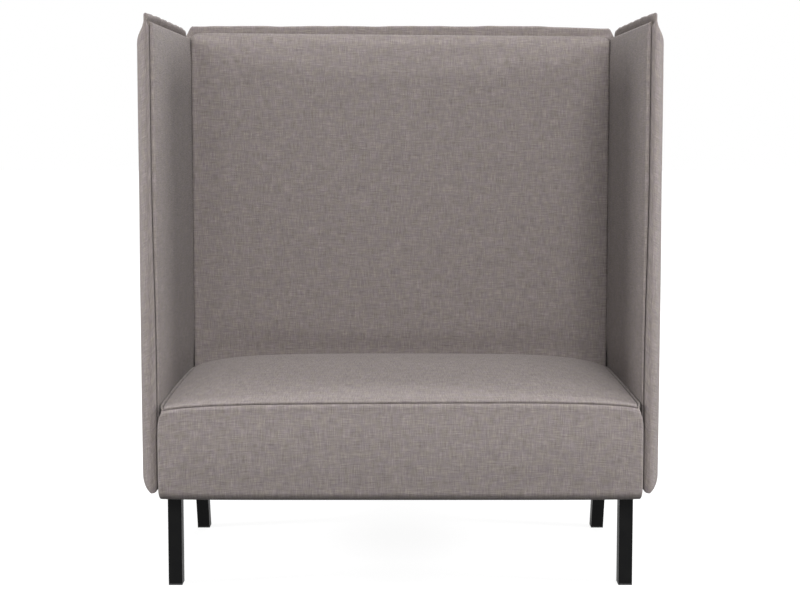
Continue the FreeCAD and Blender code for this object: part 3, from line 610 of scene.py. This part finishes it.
def carried(moved, coarse_rows, coarse_columns, rows, columns):
    """The stuffing's movement on a finer grid: a spline through the coarse rows and round the columns."""
    count_rows, count_columns = moved.shape[:2]
    at_rows = np.interp(rows, coarse_rows, np.arange(count_rows))
    at_columns = np.interp(columns, np.append(coarse_columns, columns.max() + 1), np.arange(count_columns + 1))
    down = spline_weights(at_rows, count_rows, False)
    round_loop = spline_weights(at_columns, count_columns, True)
    return np.einsum("ri,ijk,cj->rck", down, moved, round_loop)


SEAT_SIDE_SEAM = 0.439  # floor to the seam along the sides
SEAT_FRONT_SEAM = 0.455  # floor to the middle of the front seam
SEAT_SEAM_TILT = 0.003  # the front seam was sewn a little higher on the right
SEAT_REAR_TOP = 0.474
SEAT_CROWN = 0.478  # before it is stuffed
SEAT_SIDE_CROWN = 0.004
SEAT_RIM = 0.007  # from a side seam out to the side of the seat
SEAT_CAP = 0.098  # how far the sides run in round the box
SEAT_DRAW_IN = 0.008  # front corners behind the middle of the front
SEAT_SETBACK = 0.006  # front seam behind the front of the CAD seat
HEM_FORWARD = 0.0042  # front hem ahead of the front seam
FRONT_SWELL = 0.0036  # middle of the front ahead of the line from hem to seam
SEAT_ROUNDS = (0.021, 0.016, 0.006, 0.006)  # hem, front edge, rear edge, rear hem
FRONT_SEAM_PLACE = 2.66  # place on the outline, in the front edge's round
SEAM_DEPTH = 0.013
SEAM_WIDTH = 0.0025
SIDE_SEAM_DEPTH = 0.010
SEAT_LINE_REACH = 0.088  # from a side seam, over which the front seam and the rear edge rise
SEAT_CROWN_REACH = 0.070
HEM_SAG = 0.008  # front hem below the box
SAG_END = (0.94, 0.985)  # shares of the bottom between which the sag ends, under the hem
HEM_SHADE = (7.9, 8.0)  # places on the outline between which the painted shade under the hem grows
SIDE_SEAM_PLACES = (2.6, 2.9, 3.9, 4.2)  # where the side seams begin, are full and end
TOP_MIDDLE = 3.5
FRONT_LOOSE = (1.1, 1.9)  # places on the outline between which the stuffing moves it
TOP_LOOSE = (3.1, 3.97)
SEAT_HELD_SIDE = 0.012  # width that a side seam holds
SEAT_GIVE = 0.022  # how far the stuffing may move it
SEAT_CORNER_DRAW = 0.009  # front top corners of the seat
CORNER_DRAW_HEIGHT = 0.018
CORNER_DRAW_WIDTH = 0.030
RIM_ROLL = 0.005  # how far the cloth outside a side seam stands up

seat_low, seat_high = np.array(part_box("seat_cover"))
seat_half = seat_high[0] - SEAT_RIM


def round_tip(distance, radius):
    """A quarter circle from 0 at a free edge to 1 at radius."""
    return np.sqrt(1 - (1 - np.clip(distance / radius, 0.0, 1.0)) ** 2)


def seat_loops(across, arc_counts, line_counts):
    """The seat's outline in the planes across it: hem, bulged front, front seam, crowned top, rear.

    At distance d from the side seams the crown rises as 1 - exp(-d / reach). The front seam and the rear edge
    rise as 1 - exp(-(d / reach)^0.95) with a longer reach, and the front seam tilts as well. Front and top swell
    as 4 s (1 - s). Past a side seam the outline draws in to the middle of the side, while x runs out over the rim
    as a quarter circle.
    """
    past = np.maximum(np.abs(across) - seat_half, 0.0)
    inside = np.maximum(seat_half - np.abs(across), 0.0)
    level = 1 - np.exp(-inside / SEAT_CROWN_REACH)
    rise = 1 - np.exp(-((inside / SEAT_LINE_REACH) ** 0.95))
    front = seat_low[1] + SEAT_SETBACK + SEAT_DRAW_IN * (1 - level)
    seam = SEAT_SIDE_SEAM + (SEAT_FRONT_SEAM - SEAT_SIDE_SEAM) * rise + SEAT_SEAM_TILT * across / seat_half
    back = SEAT_SIDE_SEAM + (SEAT_REAR_TOP - SEAT_SIDE_SEAM) * rise
    top = SEAT_SIDE_SEAM + SEAT_SIDE_CROWN + (SEAT_CROWN - SEAT_SIDE_SEAM - SEAT_SIDE_CROWN) * level
    corners = outline(
        len(across), (front - HEM_FORWARD, seat_low[2] - HEM_SAG), (front, seam), (seat_high[1], back),
        (seat_high[1], seat_low[2]),
    )
    every = np.ones((len(across), 1))
    swells = {
        0: lambda share: every * FRONT_SWELL * 4 * share * (1 - share),
        1: lambda share: (top - (seam + back) / 2)[:, None] * 4 * share * (1 - share),
        3: lambda share: every * -HEM_SAG * share * np.interp(share, SAG_END, (1.0, 0.0)),
    }
    loops, places = rounded_loop(corners, SEAT_ROUNDS, swells, arc_counts, line_counts)
    middle = (corners[:, 0] + corners[:, 2])[:, None] / 2
    half_size = np.abs(corners[:, 2] - corners[:, 0])[:, None] / 2
    loops = middle + (loops - middle) * (1 - past[:, None, None] / half_size)
    out = SEAT_RIM * round_tip(past, 2 * SEAT_RIM)
    x = np.sign(across) * (np.minimum(np.abs(across), seat_half) + out)
    return set_across(x, loops), places


seat_reach = seat_half + SEAT_CAP
seat_marks = (-seat_half, seat_half)
seat_across = spaced(-seat_reach, seat_reach, seat_marks, fine=0.0007, step=0.009)
seat_cover, seat_places = seat_loops(seat_across, (9, 33, 7, 7), (28, 66, 24, 60))
coarse_across = spaced(-seat_reach, seat_reach, seat_marks, fine=0.008, step=0.018)
coarse_cover, coarse_places = seat_loops(coarse_across, (3, 3, 3, 3), (12, 30, 11, 30))
moved = stuffed(
    coarse_cover, coarse_across, coarse_places, (FRONT_LOOSE, TOP_LOOSE), seat_half - SEAT_HELD_SIDE, SEAT_GIVE
)
seat_cover = seat_cover + carried(moved, coarse_across, coarse_places, seat_across, seat_places)
seat_run = run_length(seat_cover)
seam_column = np.argmin(np.abs(seat_places - FRONT_SEAM_PLACE))
from_seam = seat_run - seat_run[:, seam_column, None]
on_body = np.abs(seat_across) <= seat_half
groove = SEAM_DEPTH * np.exp(-((from_seam[:, :-1] / SEAM_WIDTH) ** 2)) * on_body[:, None]
on_top = np.interp(seat_places, SIDE_SEAM_PLACES, (0.0, 1.0, 1.0, 0.0))
side_distance = np.abs(np.abs(seat_across) - seat_half)
groove = np.maximum(groove, SIDE_SEAM_DEPTH * np.exp(-((side_distance / SEAM_WIDTH) ** 2))[:, None] * on_top)
seat_normal = outward_normals(seat_cover)
top_column = np.argmin(np.abs(seat_places - TOP_MIDDLE))
seat_normal = seat_normal * np.sign(seat_normal[len(seat_across) // 2, top_column, 2])
corner_ramp = (seat_half - CORNER_DRAW_WIDTH, seat_half + SEAT_RIM)
into_corner = np.interp(np.abs(seat_across), corner_ramp, (0.0, 1.0))[:, None]
corner_draw = np.exp(-((from_seam[:, :-1] / CORNER_DRAW_HEIGHT) ** 2)) * into_corner**2
rim = RIM_ROLL * np.exp(-(((np.abs(seat_across) - seat_half - SEAT_RIM / 2) / (SEAT_RIM / 2)) ** 2))
seat_cover = seat_cover - seat_normal * groove[..., None]
seat_cover[..., 2] += rim[:, None] * on_top
seat_cover[..., 0] -= np.sign(seat_across)[:, None] * SEAT_CORNER_DRAW * corner_draw
# Painted shade in the fabric's colour: full in the front and side seams' grooves, along the hem's round and the
# bottom's last tenth.
under_hem_painted_shade = np.interp(seat_places, HEM_SHADE, (0.0, 1.0))
hem = np.where(seat_places < 1, np.sin(np.pi / 2 * (1 - seat_places)), under_hem_painted_shade)
seat_painted_shade = np.maximum(groove / groove.max(), hem)
sewn_cover("seat_upholstery", seat_cover, seat_across, from_seam, ("seat_cover", "seat_foam"), seat_painted_shade)


# Back, front side: a thick foam pad over the webbing, in a cover that rolls over the top rail to the flange.
# It stands behind the seat and between the side panels, and swells most a little above its middle.
BACK_FACE_DEPTH = 0.034  # foam and cover ahead of the webbing, before the crown
BACK_CROWN = 0.008  # before it is stuffed
BACK_SIDE_ROUND = 0.008
BACK_SIDE_DRAW = 0.004
BACK_TOP_ROUND = 0.030
BACK_WRAP = 0.003  # cover where it runs on over the posts
BACK_CORNER_DROP = 0.010  # top corners of the pad
BACK_CORNER_WIDTH = 0.030
BACK_CORNER_DRAW = 0.045  # top corners of the whole back
BACK_CORNER_LENGTH = 0.156
BACK_TOP_TILT = 0.005  # the roll was pulled a little lower on the right
BACK_DROOP = 0.006  # and so was the right top corner
DROOP_SPAN = (0.38, 0.50)  # from the middle
BACK_HELD_FOOT = 1.15  # of the stretch that the seat hides
BACK_HELD_TOP = 2.6  # place on the outline, past the middle of the top roll
BACK_HELD_SIDE = 0.006
BACK_GIVE = 0.008  # how far the stuffing may move it
SOFT_GAP = 0.0004  # between soft faces that press on each other

web_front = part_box("back_webbing")[0][1]
flange_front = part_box("back_flange")[0][1]
rail_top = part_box("back_top_rail")[1][2]
roll_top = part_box("back_front_cover")[1][2]
pad_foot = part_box("back_front_foam")[0][2]
pad_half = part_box("right_side_inner_cover")[0][0] - SOFT_GAP
seat_line = (SEAT_REAR_TOP - pad_foot) / (roll_top - pad_foot)  # share of the face that the seat hides
flange_low, flange_high = np.array(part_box("back_flange"))
wrap_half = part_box("back_rear_cover")[1][0]
corner_radius = (BACK_CORNER_LENGTH**2 + BACK_CORNER_DRAW**2) / (2 * BACK_CORNER_DRAW)


def back_top(across):
    """Height of the back's outline: level, then drawn in over the top corners along a large circle."""
    in_from_side = np.clip(flange_high[0] - np.abs(across), 0.0, corner_radius)
    rise = np.sqrt(corner_radius**2 - (corner_radius - in_from_side) ** 2)
    droop = np.interp(across, DROOP_SPAN, (0.0, BACK_DROOP))
    return np.minimum(flange_high[2], flange_high[2] - BACK_CORNER_LENGTH + rise) - droop


def plump(distance, reach, power):
    """A rounded rise from 0 at an edge to 1 at reach: a quarter sine raised to a power."""
    return np.sin(np.pi / 2 * np.clip(distance / reach, 0.0, 1.0)) ** power


def back_loops(across, arc_counts, line_counts):
    """Outlines of the back's front pad in the planes across it: face, top roll, step over the rail, flat rear.

    The face is drawn back at the sides by a rounded rise, and swells by a sine between the seat and the roll,
    times 1 - (x / half)^4 across. Past the pad's sides only a thin wrap over the posts is left.
    """
    to_side = pad_half - np.abs(across)
    on_pad = to_side > -1e-9
    side = plump(to_side, BACK_SIDE_ROUND, power=0.7)
    face = web_front - np.where(on_pad, BACK_FACE_DEPTH - BACK_SIDE_DRAW * (1 - side), BACK_WRAP)
    foot = np.where(on_pad, pad_foot, rail_top - BACK_WRAP)
    top = np.minimum(
        roll_top - BACK_TOP_TILT * across / pad_half
        - BACK_CORNER_DROP * (1 - plump(to_side, BACK_CORNER_WIDTH, power=0.5)),
        back_top(across) - BACK_WRAP,
    )
    level = np.where(on_pad, 1 - (across / pad_half) ** 4, 0.0)
    step = flange_front - SOFT_GAP
    ledge = rail_top + SOFT_GAP
    rear = web_front - SOFT_GAP
    corners = outline(
        len(across), (face, foot), (face, top), (step, top), (step, ledge), (rear, ledge), (rear, foot)
    )

    def crown(share):
        rise = np.clip((share - seat_line) / (1 - seat_line), 0.0, 1.0)
        return BACK_CROWN * level[:, None] * np.sin(np.pi * rise**1.1) ** 0.9

    rounds = np.full(corners.shape[:2], BACK_WRAP / 8)
    rounds[:, 1] = np.where(on_pad, BACK_TOP_ROUND, BACK_WRAP)
    loops, places = rounded_loop(corners, rounds, {0: crown}, arc_counts, line_counts)
    return set_across(across, loops), places


on_pad_across = spaced(-pad_half, pad_half, (-pad_half, pad_half), fine=0.0006)
wrap_across = spaced(pad_half + SOFT_GAP, wrap_half, (pad_half,), fine=0.002, step=0.004)
back_across = np.concatenate((-wrap_across[::-1], on_pad_across, wrap_across))
back_pad, back_places = back_loops(back_across, (5, 17, 5, 2, 2, 4), (100, 2, 2, 2, 60, 3))
coarse_across = spaced(-pad_half, pad_half, (-pad_half, pad_half), fine=0.012, step=0.022)
coarse_pad, coarse_places = back_loops(coarse_across, (3, 5, 2, 2, 2, 3), (40, 1, 1, 1, 20, 1))
face_loose = (1 + BACK_HELD_FOOT * seat_line, BACK_HELD_TOP)
moved = stuffed(coarse_pad, coarse_across, coarse_places, (face_loose,), pad_half - BACK_HELD_SIDE, BACK_GIVE)
moved = carried(moved, coarse_across, coarse_places, back_across, back_places)
back_pad = back_pad + moved * (np.abs(back_across) <= pad_half)[:, None, None]
sewn_cover(
    "back_front_upholstery", back_pad, back_across, run_length(back_pad), ("back_front_cover", "back_front_foam")
)


# Back, rear side: foam and cover over the hardboard, with the flange that stands out round the top and sides.
# The flange is two layers of cloth over a flat strip, and the top corners of the cover are drawn in.
FLANGE_TIP = 0.005  # round of the flange's free edge
CLOTH = 0.0006  # least thickness, of one layer of cloth
BACK_SHOULDER = 0.075
REAR_POWER = 0.55  # of the rear pad's shoulders
REAR_WAVE = 0.0012
WAVE_FADE = 0.06  # from the sides, over which the top edge's wave grows
FLANGE_LEAN = 0.005  # top of the flange ahead of where it is sewn on

rear_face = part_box("back_rear_cover")[1][1]
board_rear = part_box("back_hardboard")[1][1]
post_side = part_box("back_right_post")[1][0]


def ripple(u, v, size):
    """A gentle unevenness of hand-pulled cloth: three crossed sines that never line up."""
    return size * (
        0.5 * np.sin(9.1 * u + 1.3 * v + 0.4) + 0.3 * np.sin(17.3 * u - 4.1 * v + 2.1)
        + 0.2 * np.sin(31.7 * u + 7.7 * v + 4.4)
    )


def slab_loops(rows, heights, face, base):
    """Loops up the face and down the base of a flat piece, with points of row, offset and height.

    The face stands off the base by a layer of cloth at least.
    """
    rows = np.broadcast_to(rows[:, None], heights.shape)
    up = np.stack((rows, np.maximum(face, base + CLOTH), heights), axis=2)
    down = np.stack((rows, base, heights), axis=2)
    return np.concatenate((up, down[:, ::-1]), axis=1)


rear_across = spaced(
    -flange_high[0], flange_high[0],
    (-flange_high[0], -wrap_half, -post_side, post_side, wrap_half, flange_high[0]),
)
from_side = flange_high[0] - np.abs(rear_across)
top_wave = ripple(3.0 * rear_across, 0.0, REAR_WAVE) * np.clip(from_side / WAVE_FADE, 0.0, 1.0)
rear_top = back_top(rear_across) + top_wave
rear_rows = spaced(flange_low[2], flange_high[2], (flange_low[2], rail_top, roll_top, flange_high[2]))
rear_share = (rear_rows - flange_low[2]) / (flange_high[2] - flange_low[2])
rear_up = flange_low[2] + rear_share[None, :] * (rear_top - flange_low[2])[:, None]
over_corner = np.maximum(rear_up - (flange_high[2] - BACK_CORNER_LENGTH), 0.0)
side_line = flange_high[0] - corner_radius + np.sqrt(corner_radius**2 - over_corner**2)
to_tip = np.minimum(rear_top[:, None] - rear_up, side_line - np.abs(rear_across)[:, None])
tip = round_tip(to_tip, FLANGE_TIP)
flange_middle = (flange_low[1] + flange_high[1]) / 2
flange_half = (flange_high[1] - flange_low[1]) / 2
sway = ripple(2.3 * rear_across[:, None], 2.0 * rear_up, REAR_WAVE / 2)
to_side = np.minimum(side_line, wrap_half) - np.abs(rear_across)[:, None]
to_top = np.minimum(rear_top[:, None], roll_top) - rear_up
to_foot = rear_up - flange_low[2]
swell = plump(np.minimum(to_side, to_top), BACK_SHOULDER, REAR_POWER)
swell = swell * plump(to_foot, BACK_SHOULDER, REAR_POWER)
pad_depth = rear_face - (flange_middle + flange_half)
rear_out = flange_middle + flange_half * tip + pad_depth * swell + sway * tip
in_frame = (np.abs(rear_across)[:, None] < post_side + SOFT_GAP) & (rear_up < rail_top + SOFT_GAP)
rear_in = np.where(in_frame, board_rear + SOFT_GAP, flange_middle - flange_half * tip)
lean = np.interp(rear_up, (roll_top, flange_high[2]), (0.0, FLANGE_LEAN))
rear_cover = slab_loops(rear_across, rear_up, rear_out - lean, rear_in - lean)
sewn_cover(
    "back_rear_upholstery", rear_cover, rear_across, run_length(rear_cover),
    ("back_rear_cover", "back_rear_foam", "back_flange"),
)


# Side panels, inside: thin foam and cover glued to the board, pressed flat behind the seat's edge.
# Along the front and the top they roll over into a sewn crease, where the flange begins.
INNER_PRESSED = 0.0105  # where the seat presses on it
SEAT_TOUCH = 0.014  # how far above the side seam the seat still presses
SEAT_SHOULDER = 0.090  # height over which it swells above the seat
INNER_SHOULDER = 0.085
EDGE_ROLL = 0.004
ROLL_SHARE = 0.6  # of the thickness that is gained along the roll
INNER_WAVE = 0.0006
INNER_LIP = 0.006  # how far the cover runs past the board at the front
CREASE = 0.0019  # slot between the cover and the flange
FLANGE_WRAP = 0.008  # the flange's cloth on the inside of the board, under the inner cover
FLANGE_SPREAD = 0.006  # how far the front flange swells inwards beside the seat
SPREAD_TOP = 1.0  # heights between which that grows
SPREAD_FOOT = 0.5
SIDE_MIRRORS = (("right", 1.0), ("left", -1.0))

inner_low, inner_high = np.array(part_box("right_side_inner_cover"))
inner_full = inner_high[0] - inner_low[0]
fin_low, fin_high = np.array(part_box("right_side_flange"))
fin_middle = (fin_low[0] + fin_high[0]) / 2
fin_half = (fin_high[0] - fin_low[0]) / 2
inner_front = inner_low[1] - INNER_LIP
inner_top = inner_high[2] - CREASE
lip_rear = inner_low[1] + FLANGE_WRAP


def smooth_step(share):
    """3 s^2 - 2 s^3 of a share s, which is held between 0 and 1."""
    share = np.clip(share, 0.0, 1.0)
    return share**2 * (3 - 2 * share)


def spread(height):
    """How far the front flange's inner face stands in at a height: a smooth step down towards the seat."""
    return FLANGE_SPREAD * smooth_step((SPREAD_TOP - height) / (SPREAD_TOP - SPREAD_FOOT))


def rolled(distance):
    """A pad's edge: over half of its thickness is gained along a small quarter circle, the rest gently."""
    gentle = plump(distance, INNER_SHOULDER, power=0.7)
    return ROLL_SHARE * round_tip(distance, EDGE_ROLL) + (1 - ROLL_SHARE) * gentle


inner_along = spaced(inner_front, inner_high[1], (inner_front, lip_rear), fine=0.0004)
inner_up = spaced(inner_low[2], inner_top, (SEAT_SIDE_SEAM, inner_top), fine=0.0004)
above_seat = inner_up - SEAT_SIDE_SEAM - SEAT_TOUCH
thickness = INNER_PRESSED + (inner_full - INNER_PRESSED) * plump(above_seat, SEAT_SHOULDER, power=1.0)
front_round = rolled(inner_along - inner_front)[:, None]
top_round = rolled(inner_top - inner_up)
lip = inner_high[0] - fin_middle + fin_half + spread(inner_up) + CREASE
swell = thickness - lip + ripple(5.0 * inner_along[:, None], 4.0 * inner_up, INNER_WAVE)
inner_out = lip + swell * front_round * top_round
inner_base = np.where((inner_along < lip_rear)[:, None], lip, SOFT_GAP / 2)
inner_heights = np.broadcast_to(inner_up, inner_out.shape)
inner_cover = slab_loops(inner_along, inner_heights, inner_out, inner_base)[..., (1, 0, 2)]
inner_cover[..., 0] = inner_high[0] - inner_cover[..., 0]
for side, sign in SIDE_MIRRORS:
    sewn_cover(
        side + "_side_inner_upholstery", inner_cover * (sign, 1, 1), inner_along, run_length(inner_cover),
        (side + "_side_inner_cover", side + "_side_inner_foam"),
    )


# Side panels, outside: foam and cover over the board, sewn to a soft flange along the front and the top.
# The flange ends short of the back with a rounded end, and at the rear the cover is pulled round the post.
OUTER_SHOULDER = 0.046
OUTER_FRONT_SHOULDER = 0.062
OUTER_REAR_SHOULDER = 0.026
OUTER_FOOT_SHOULDER = 0.034
OUTER_WAVE = 0.0007
OUTER_HANG = 0.004  # foot of the cover below the flange's
SIDE_FLANGE_TIP = 0.0075
FLANGE_PINCH = 0.75  # of the flange's half thickness, lost where it is sewn on
PINCH_REACH = 0.007
FLANGE_END = 0.010  # flange's rear end ahead of the board's
FLANGE_CORNER = 0.017
FLANGE_SLACK = 0.0015  # the flange's edge sits a little low and waves
BOARD_COVER = 0.0006  # cloth on the board's top edge
FLANGE_LEAST = 0.002  # what stands above that cloth behind the flange's end
FLANGE_TILT = 0.006  # top of the flange inside of where it is sewn on
TILT_REACH = 0.11  # from each end, where it stands upright

board_low, board_high = np.array(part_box("right_side_board"))
outer_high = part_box("right_side_outer_cover")[1]
outer_rear = flange_low[1] - SOFT_GAP
outer_foot = fin_low[2] - OUTER_HANG
fin_rear = board_high[1] - FLANGE_END
outer_along = spaced(
    fin_low[1], outer_rear,
    (fin_low[1], board_low[1], board_low[1] + FLANGE_WRAP, fin_rear, board_high[1], outer_rear),
)
over_end = np.clip(outer_along - (fin_rear - FLANGE_CORNER), 0.0, FLANGE_CORNER)
fin_top = fin_high[2] - FLANGE_SLACK - FLANGE_CORNER + np.sqrt(FLANGE_CORNER**2 - over_end**2)
fin_top = fin_top + ripple(8.0 * outer_along, 1.0, FLANGE_SLACK)
covered_top = board_high[2] + BOARD_COVER
fin_top = np.where(outer_along > fin_rear, 0.0, fin_top)
fin_top = np.maximum(fin_top, covered_top + FLANGE_LEAST)
outer_marks = (outer_foot, board_high[2] - FLANGE_WRAP, covered_top, fin_high[2])
outer_rows = spaced(outer_foot, fin_high[2], outer_marks)
fin_share = np.maximum(outer_rows - covered_top, 0.0) / (fin_high[2] - covered_top)
outer_up = np.minimum(outer_rows, covered_top) + fin_share * (fin_top - covered_top)[:, None]
from_tip = np.minimum((outer_along - fin_low[1])[:, None], fin_top[:, None] - outer_up)
fin = round_tip(np.minimum(from_tip, outer_up - outer_foot), SIDE_FLANGE_TIP)
outer_depth = outer_high[0] - fin_high[0]
outer_swell = (
    plump(outer_along - fin_low[1], OUTER_FRONT_SHOULDER, power=0.8)[:, None]
    * plump(np.minimum(board_high[2], fin_top[:, None]) - outer_up, OUTER_SHOULDER, power=0.8)
    * plump(outer_up - outer_foot, OUTER_FOOT_SHOULDER, power=0.3)
    * plump(outer_rear - outer_along, OUTER_REAR_SHOULDER, power=0.6)[:, None]
)
outer_out = fin_middle + fin_half * fin + outer_depth * outer_swell
outer_out = outer_out + ripple(3.0 * outer_along[:, None], 2.5 * outer_up, OUTER_WAVE) * fin
over_board = (outer_along > board_low[1] - SOFT_GAP)[:, None] & (outer_up < covered_top + SOFT_GAP / 2)
beside_board = (outer_along > board_low[1] + FLANGE_WRAP)[:, None] & (outer_up < board_high[2] - FLANGE_WRAP)
at_edge = over_board & (outer_up > board_high[2] - FLANGE_WRAP)
outer_out = np.where(at_edge, np.maximum(outer_out, board_high[0] + SOFT_GAP), outer_out)
carrier = np.where(outer_along > board_high[1], max(post_side, board_high[0]), board_high[0])
past_sewing = fin_top[:, None] - outer_up - (inner_low[1] - fin_low[1])
pinched = 1 - FLANGE_PINCH * np.exp(-((past_sewing / PINCH_REACH) ** 2))
fin_in = fin_middle - fin * (fin_half * pinched + spread(outer_up))
fin_in = np.where(over_board, board_low[0] - SOFT_GAP / 2, fin_in)
fin_in = np.where((outer_along > board_high[1])[:, None], fin_middle, fin_in)
outer_in = np.where(beside_board, carrier[:, None] + SOFT_GAP / 2, fin_in)
to_end = np.minimum(outer_along - fin_low[1], fin_rear - outer_along)
tilt = FLANGE_TILT * fin_share * smooth_step(to_end / TILT_REACH)[:, None]
outer_cover = slab_loops(outer_along, outer_up, outer_out - tilt, outer_in - tilt)[..., (1, 0, 2)]
half_way_up = outer_out[:, outer_rows.size // 2]
outer_weave = np.append(0.0, np.cumsum(np.hypot(np.diff(outer_along), np.diff(half_way_up))))
for side, sign in SIDE_MIRRORS:
    sewn_cover(
        side + "_side_outer_upholstery", outer_cover * (sign, 1, 1), outer_weave, run_length(outer_cover),
        (side + "_side_outer_cover", side + "_side_outer_foam", side + "_side_flange"),
    )


# Studio: a white floor, soft lamps above, in front, behind and at both sides, and a camera straight in front,
# at the eye height of someone who sits, tipped down a little.
FLOOR_HALF = 30.0
FLOOR_BASE = (0.2, 0.2, 0.2, 1.0)  # keeps the light that it throws up at the sofa low
FLOOR_GLOW = 0.88  # under the sofa, for the camera and reflections; further out it grows to 1
GLOW_NEAR = 0.8  # distances from the middle between which that happens
GLOW_FAR = 2.4
WORLD_LIGHT = 0.46


def seen_rays(finish):
    """1 for what the camera sees directly, in a reflection or through glass, and 0 for light on the object."""
    rays = finish.node("LightPath")
    return rays.math("MAXIMUM", rays.output("Is Glossy Ray")).math("MAXIMUM", rays.output("Is Transmission Ray"))


def white_floor():
    """A matt floor with a white glow for the camera and reflections, which grows with the distance from the sofa."""
    paint = Finish("white_floor", {
        "Base Color": FLOOR_BASE, "Roughness": 0.9, "Specular IOR Level": 0.1, "Emission Strength": 1.0,
    })
    here = paint.node("TexCoord", output="Object")
    distance = paint.node("VectorMath", {"operation": "LENGTH"}, {0: here}, output="Value")
    share = paint.node("MapRange", {}, {"Value": distance, "From Min": GLOW_NEAR, "From Max": GLOW_FAR})
    glow = seen_rays(paint) * (FLOOR_GLOW + (1 - FLOOR_GLOW) * share)
    return paint.show({"Emission Color": paint.ramp(glow, ((0.0, (0, 0, 0, 1)), (1.0, (1, 1, 1, 1))))})


floor_mesh = bpy.data.meshes.new("floor")
floor_corners = [(x * FLOOR_HALF, y * FLOOR_HALF, 0) for x, y in ((-1, -1), (1, -1), (1, 1), (-1, 1))]
floor_mesh.from_pydata(floor_corners, [], [(0, 1, 2, 3)])
floor_mesh.materials.append(white_floor())
floor = placed("floor", floor_mesh)


def soft_lamp(name, at, towards, size, power):
    """A square softbox that faces a point."""
    data = bpy.data.lights.new(name, "AREA")
    data.size = size
    data.energy = power
    lamp = placed(name, data)
    lamp.location = at
    aim = np.array(towards) - np.array(at)
    lamp.rotation_euler = (
        math.atan2(math.hypot(aim[0], aim[1]), -aim[2]), 0.0, math.atan2(-aim[0], aim[1])
    )


soft_lamp("top_lamp", (0.7, -2.0, 7.6), (0.0, 0.0, 0.5), 4.0, 318.0)
soft_lamp("front_lamp", (0.9, -7.0, 4.6), (0.0, 0.0, 0.7), 2.4, 405.0)
soft_lamp("left_lamp", (-3.0, -0.62, 1.5), (-0.6, 0.0, 0.8), 0.4, 55.0)
soft_lamp("right_lamp", (3.0, -0.62, 1.5), (0.6, 0.0, 0.8), 0.4, 58.0)
soft_lamp("back_lamp", (0.6, 4.2, 2.6), (0.0, 0.0, 0.7), 1.6, 60.0)

studio = Finish("studio", {"Color": (1, 1, 1, 1)}, bpy.data.worlds, "Background")
bpy.context.scene.world = studio.show({"Strength": WORLD_LIGHT + (1 - WORLD_LIGHT) * seen_rays(studio)})

CAMERA_HEIGHT = 1.0767
CAMERA_DISTANCE = 3.3463
CAMERA_PITCH = math.radians(4.2)
camera_data = bpy.data.cameras.new("camera")
camera_data.lens = 60.73
camera_data.sensor_width = 36.0
camera_data.shift_x = -0.0005
camera_data.shift_y = -0.0922
camera = placed("camera", camera_data)
camera.location = (0.0, -CAMERA_DISTANCE, CAMERA_HEIGHT)
camera.rotation_euler = (math.pi / 2 - CAMERA_PITCH, 0.0, 0.0)
bpy.context.scene.camera = camera
bpy.context.scene.view_settings.view_transform = "Standard"
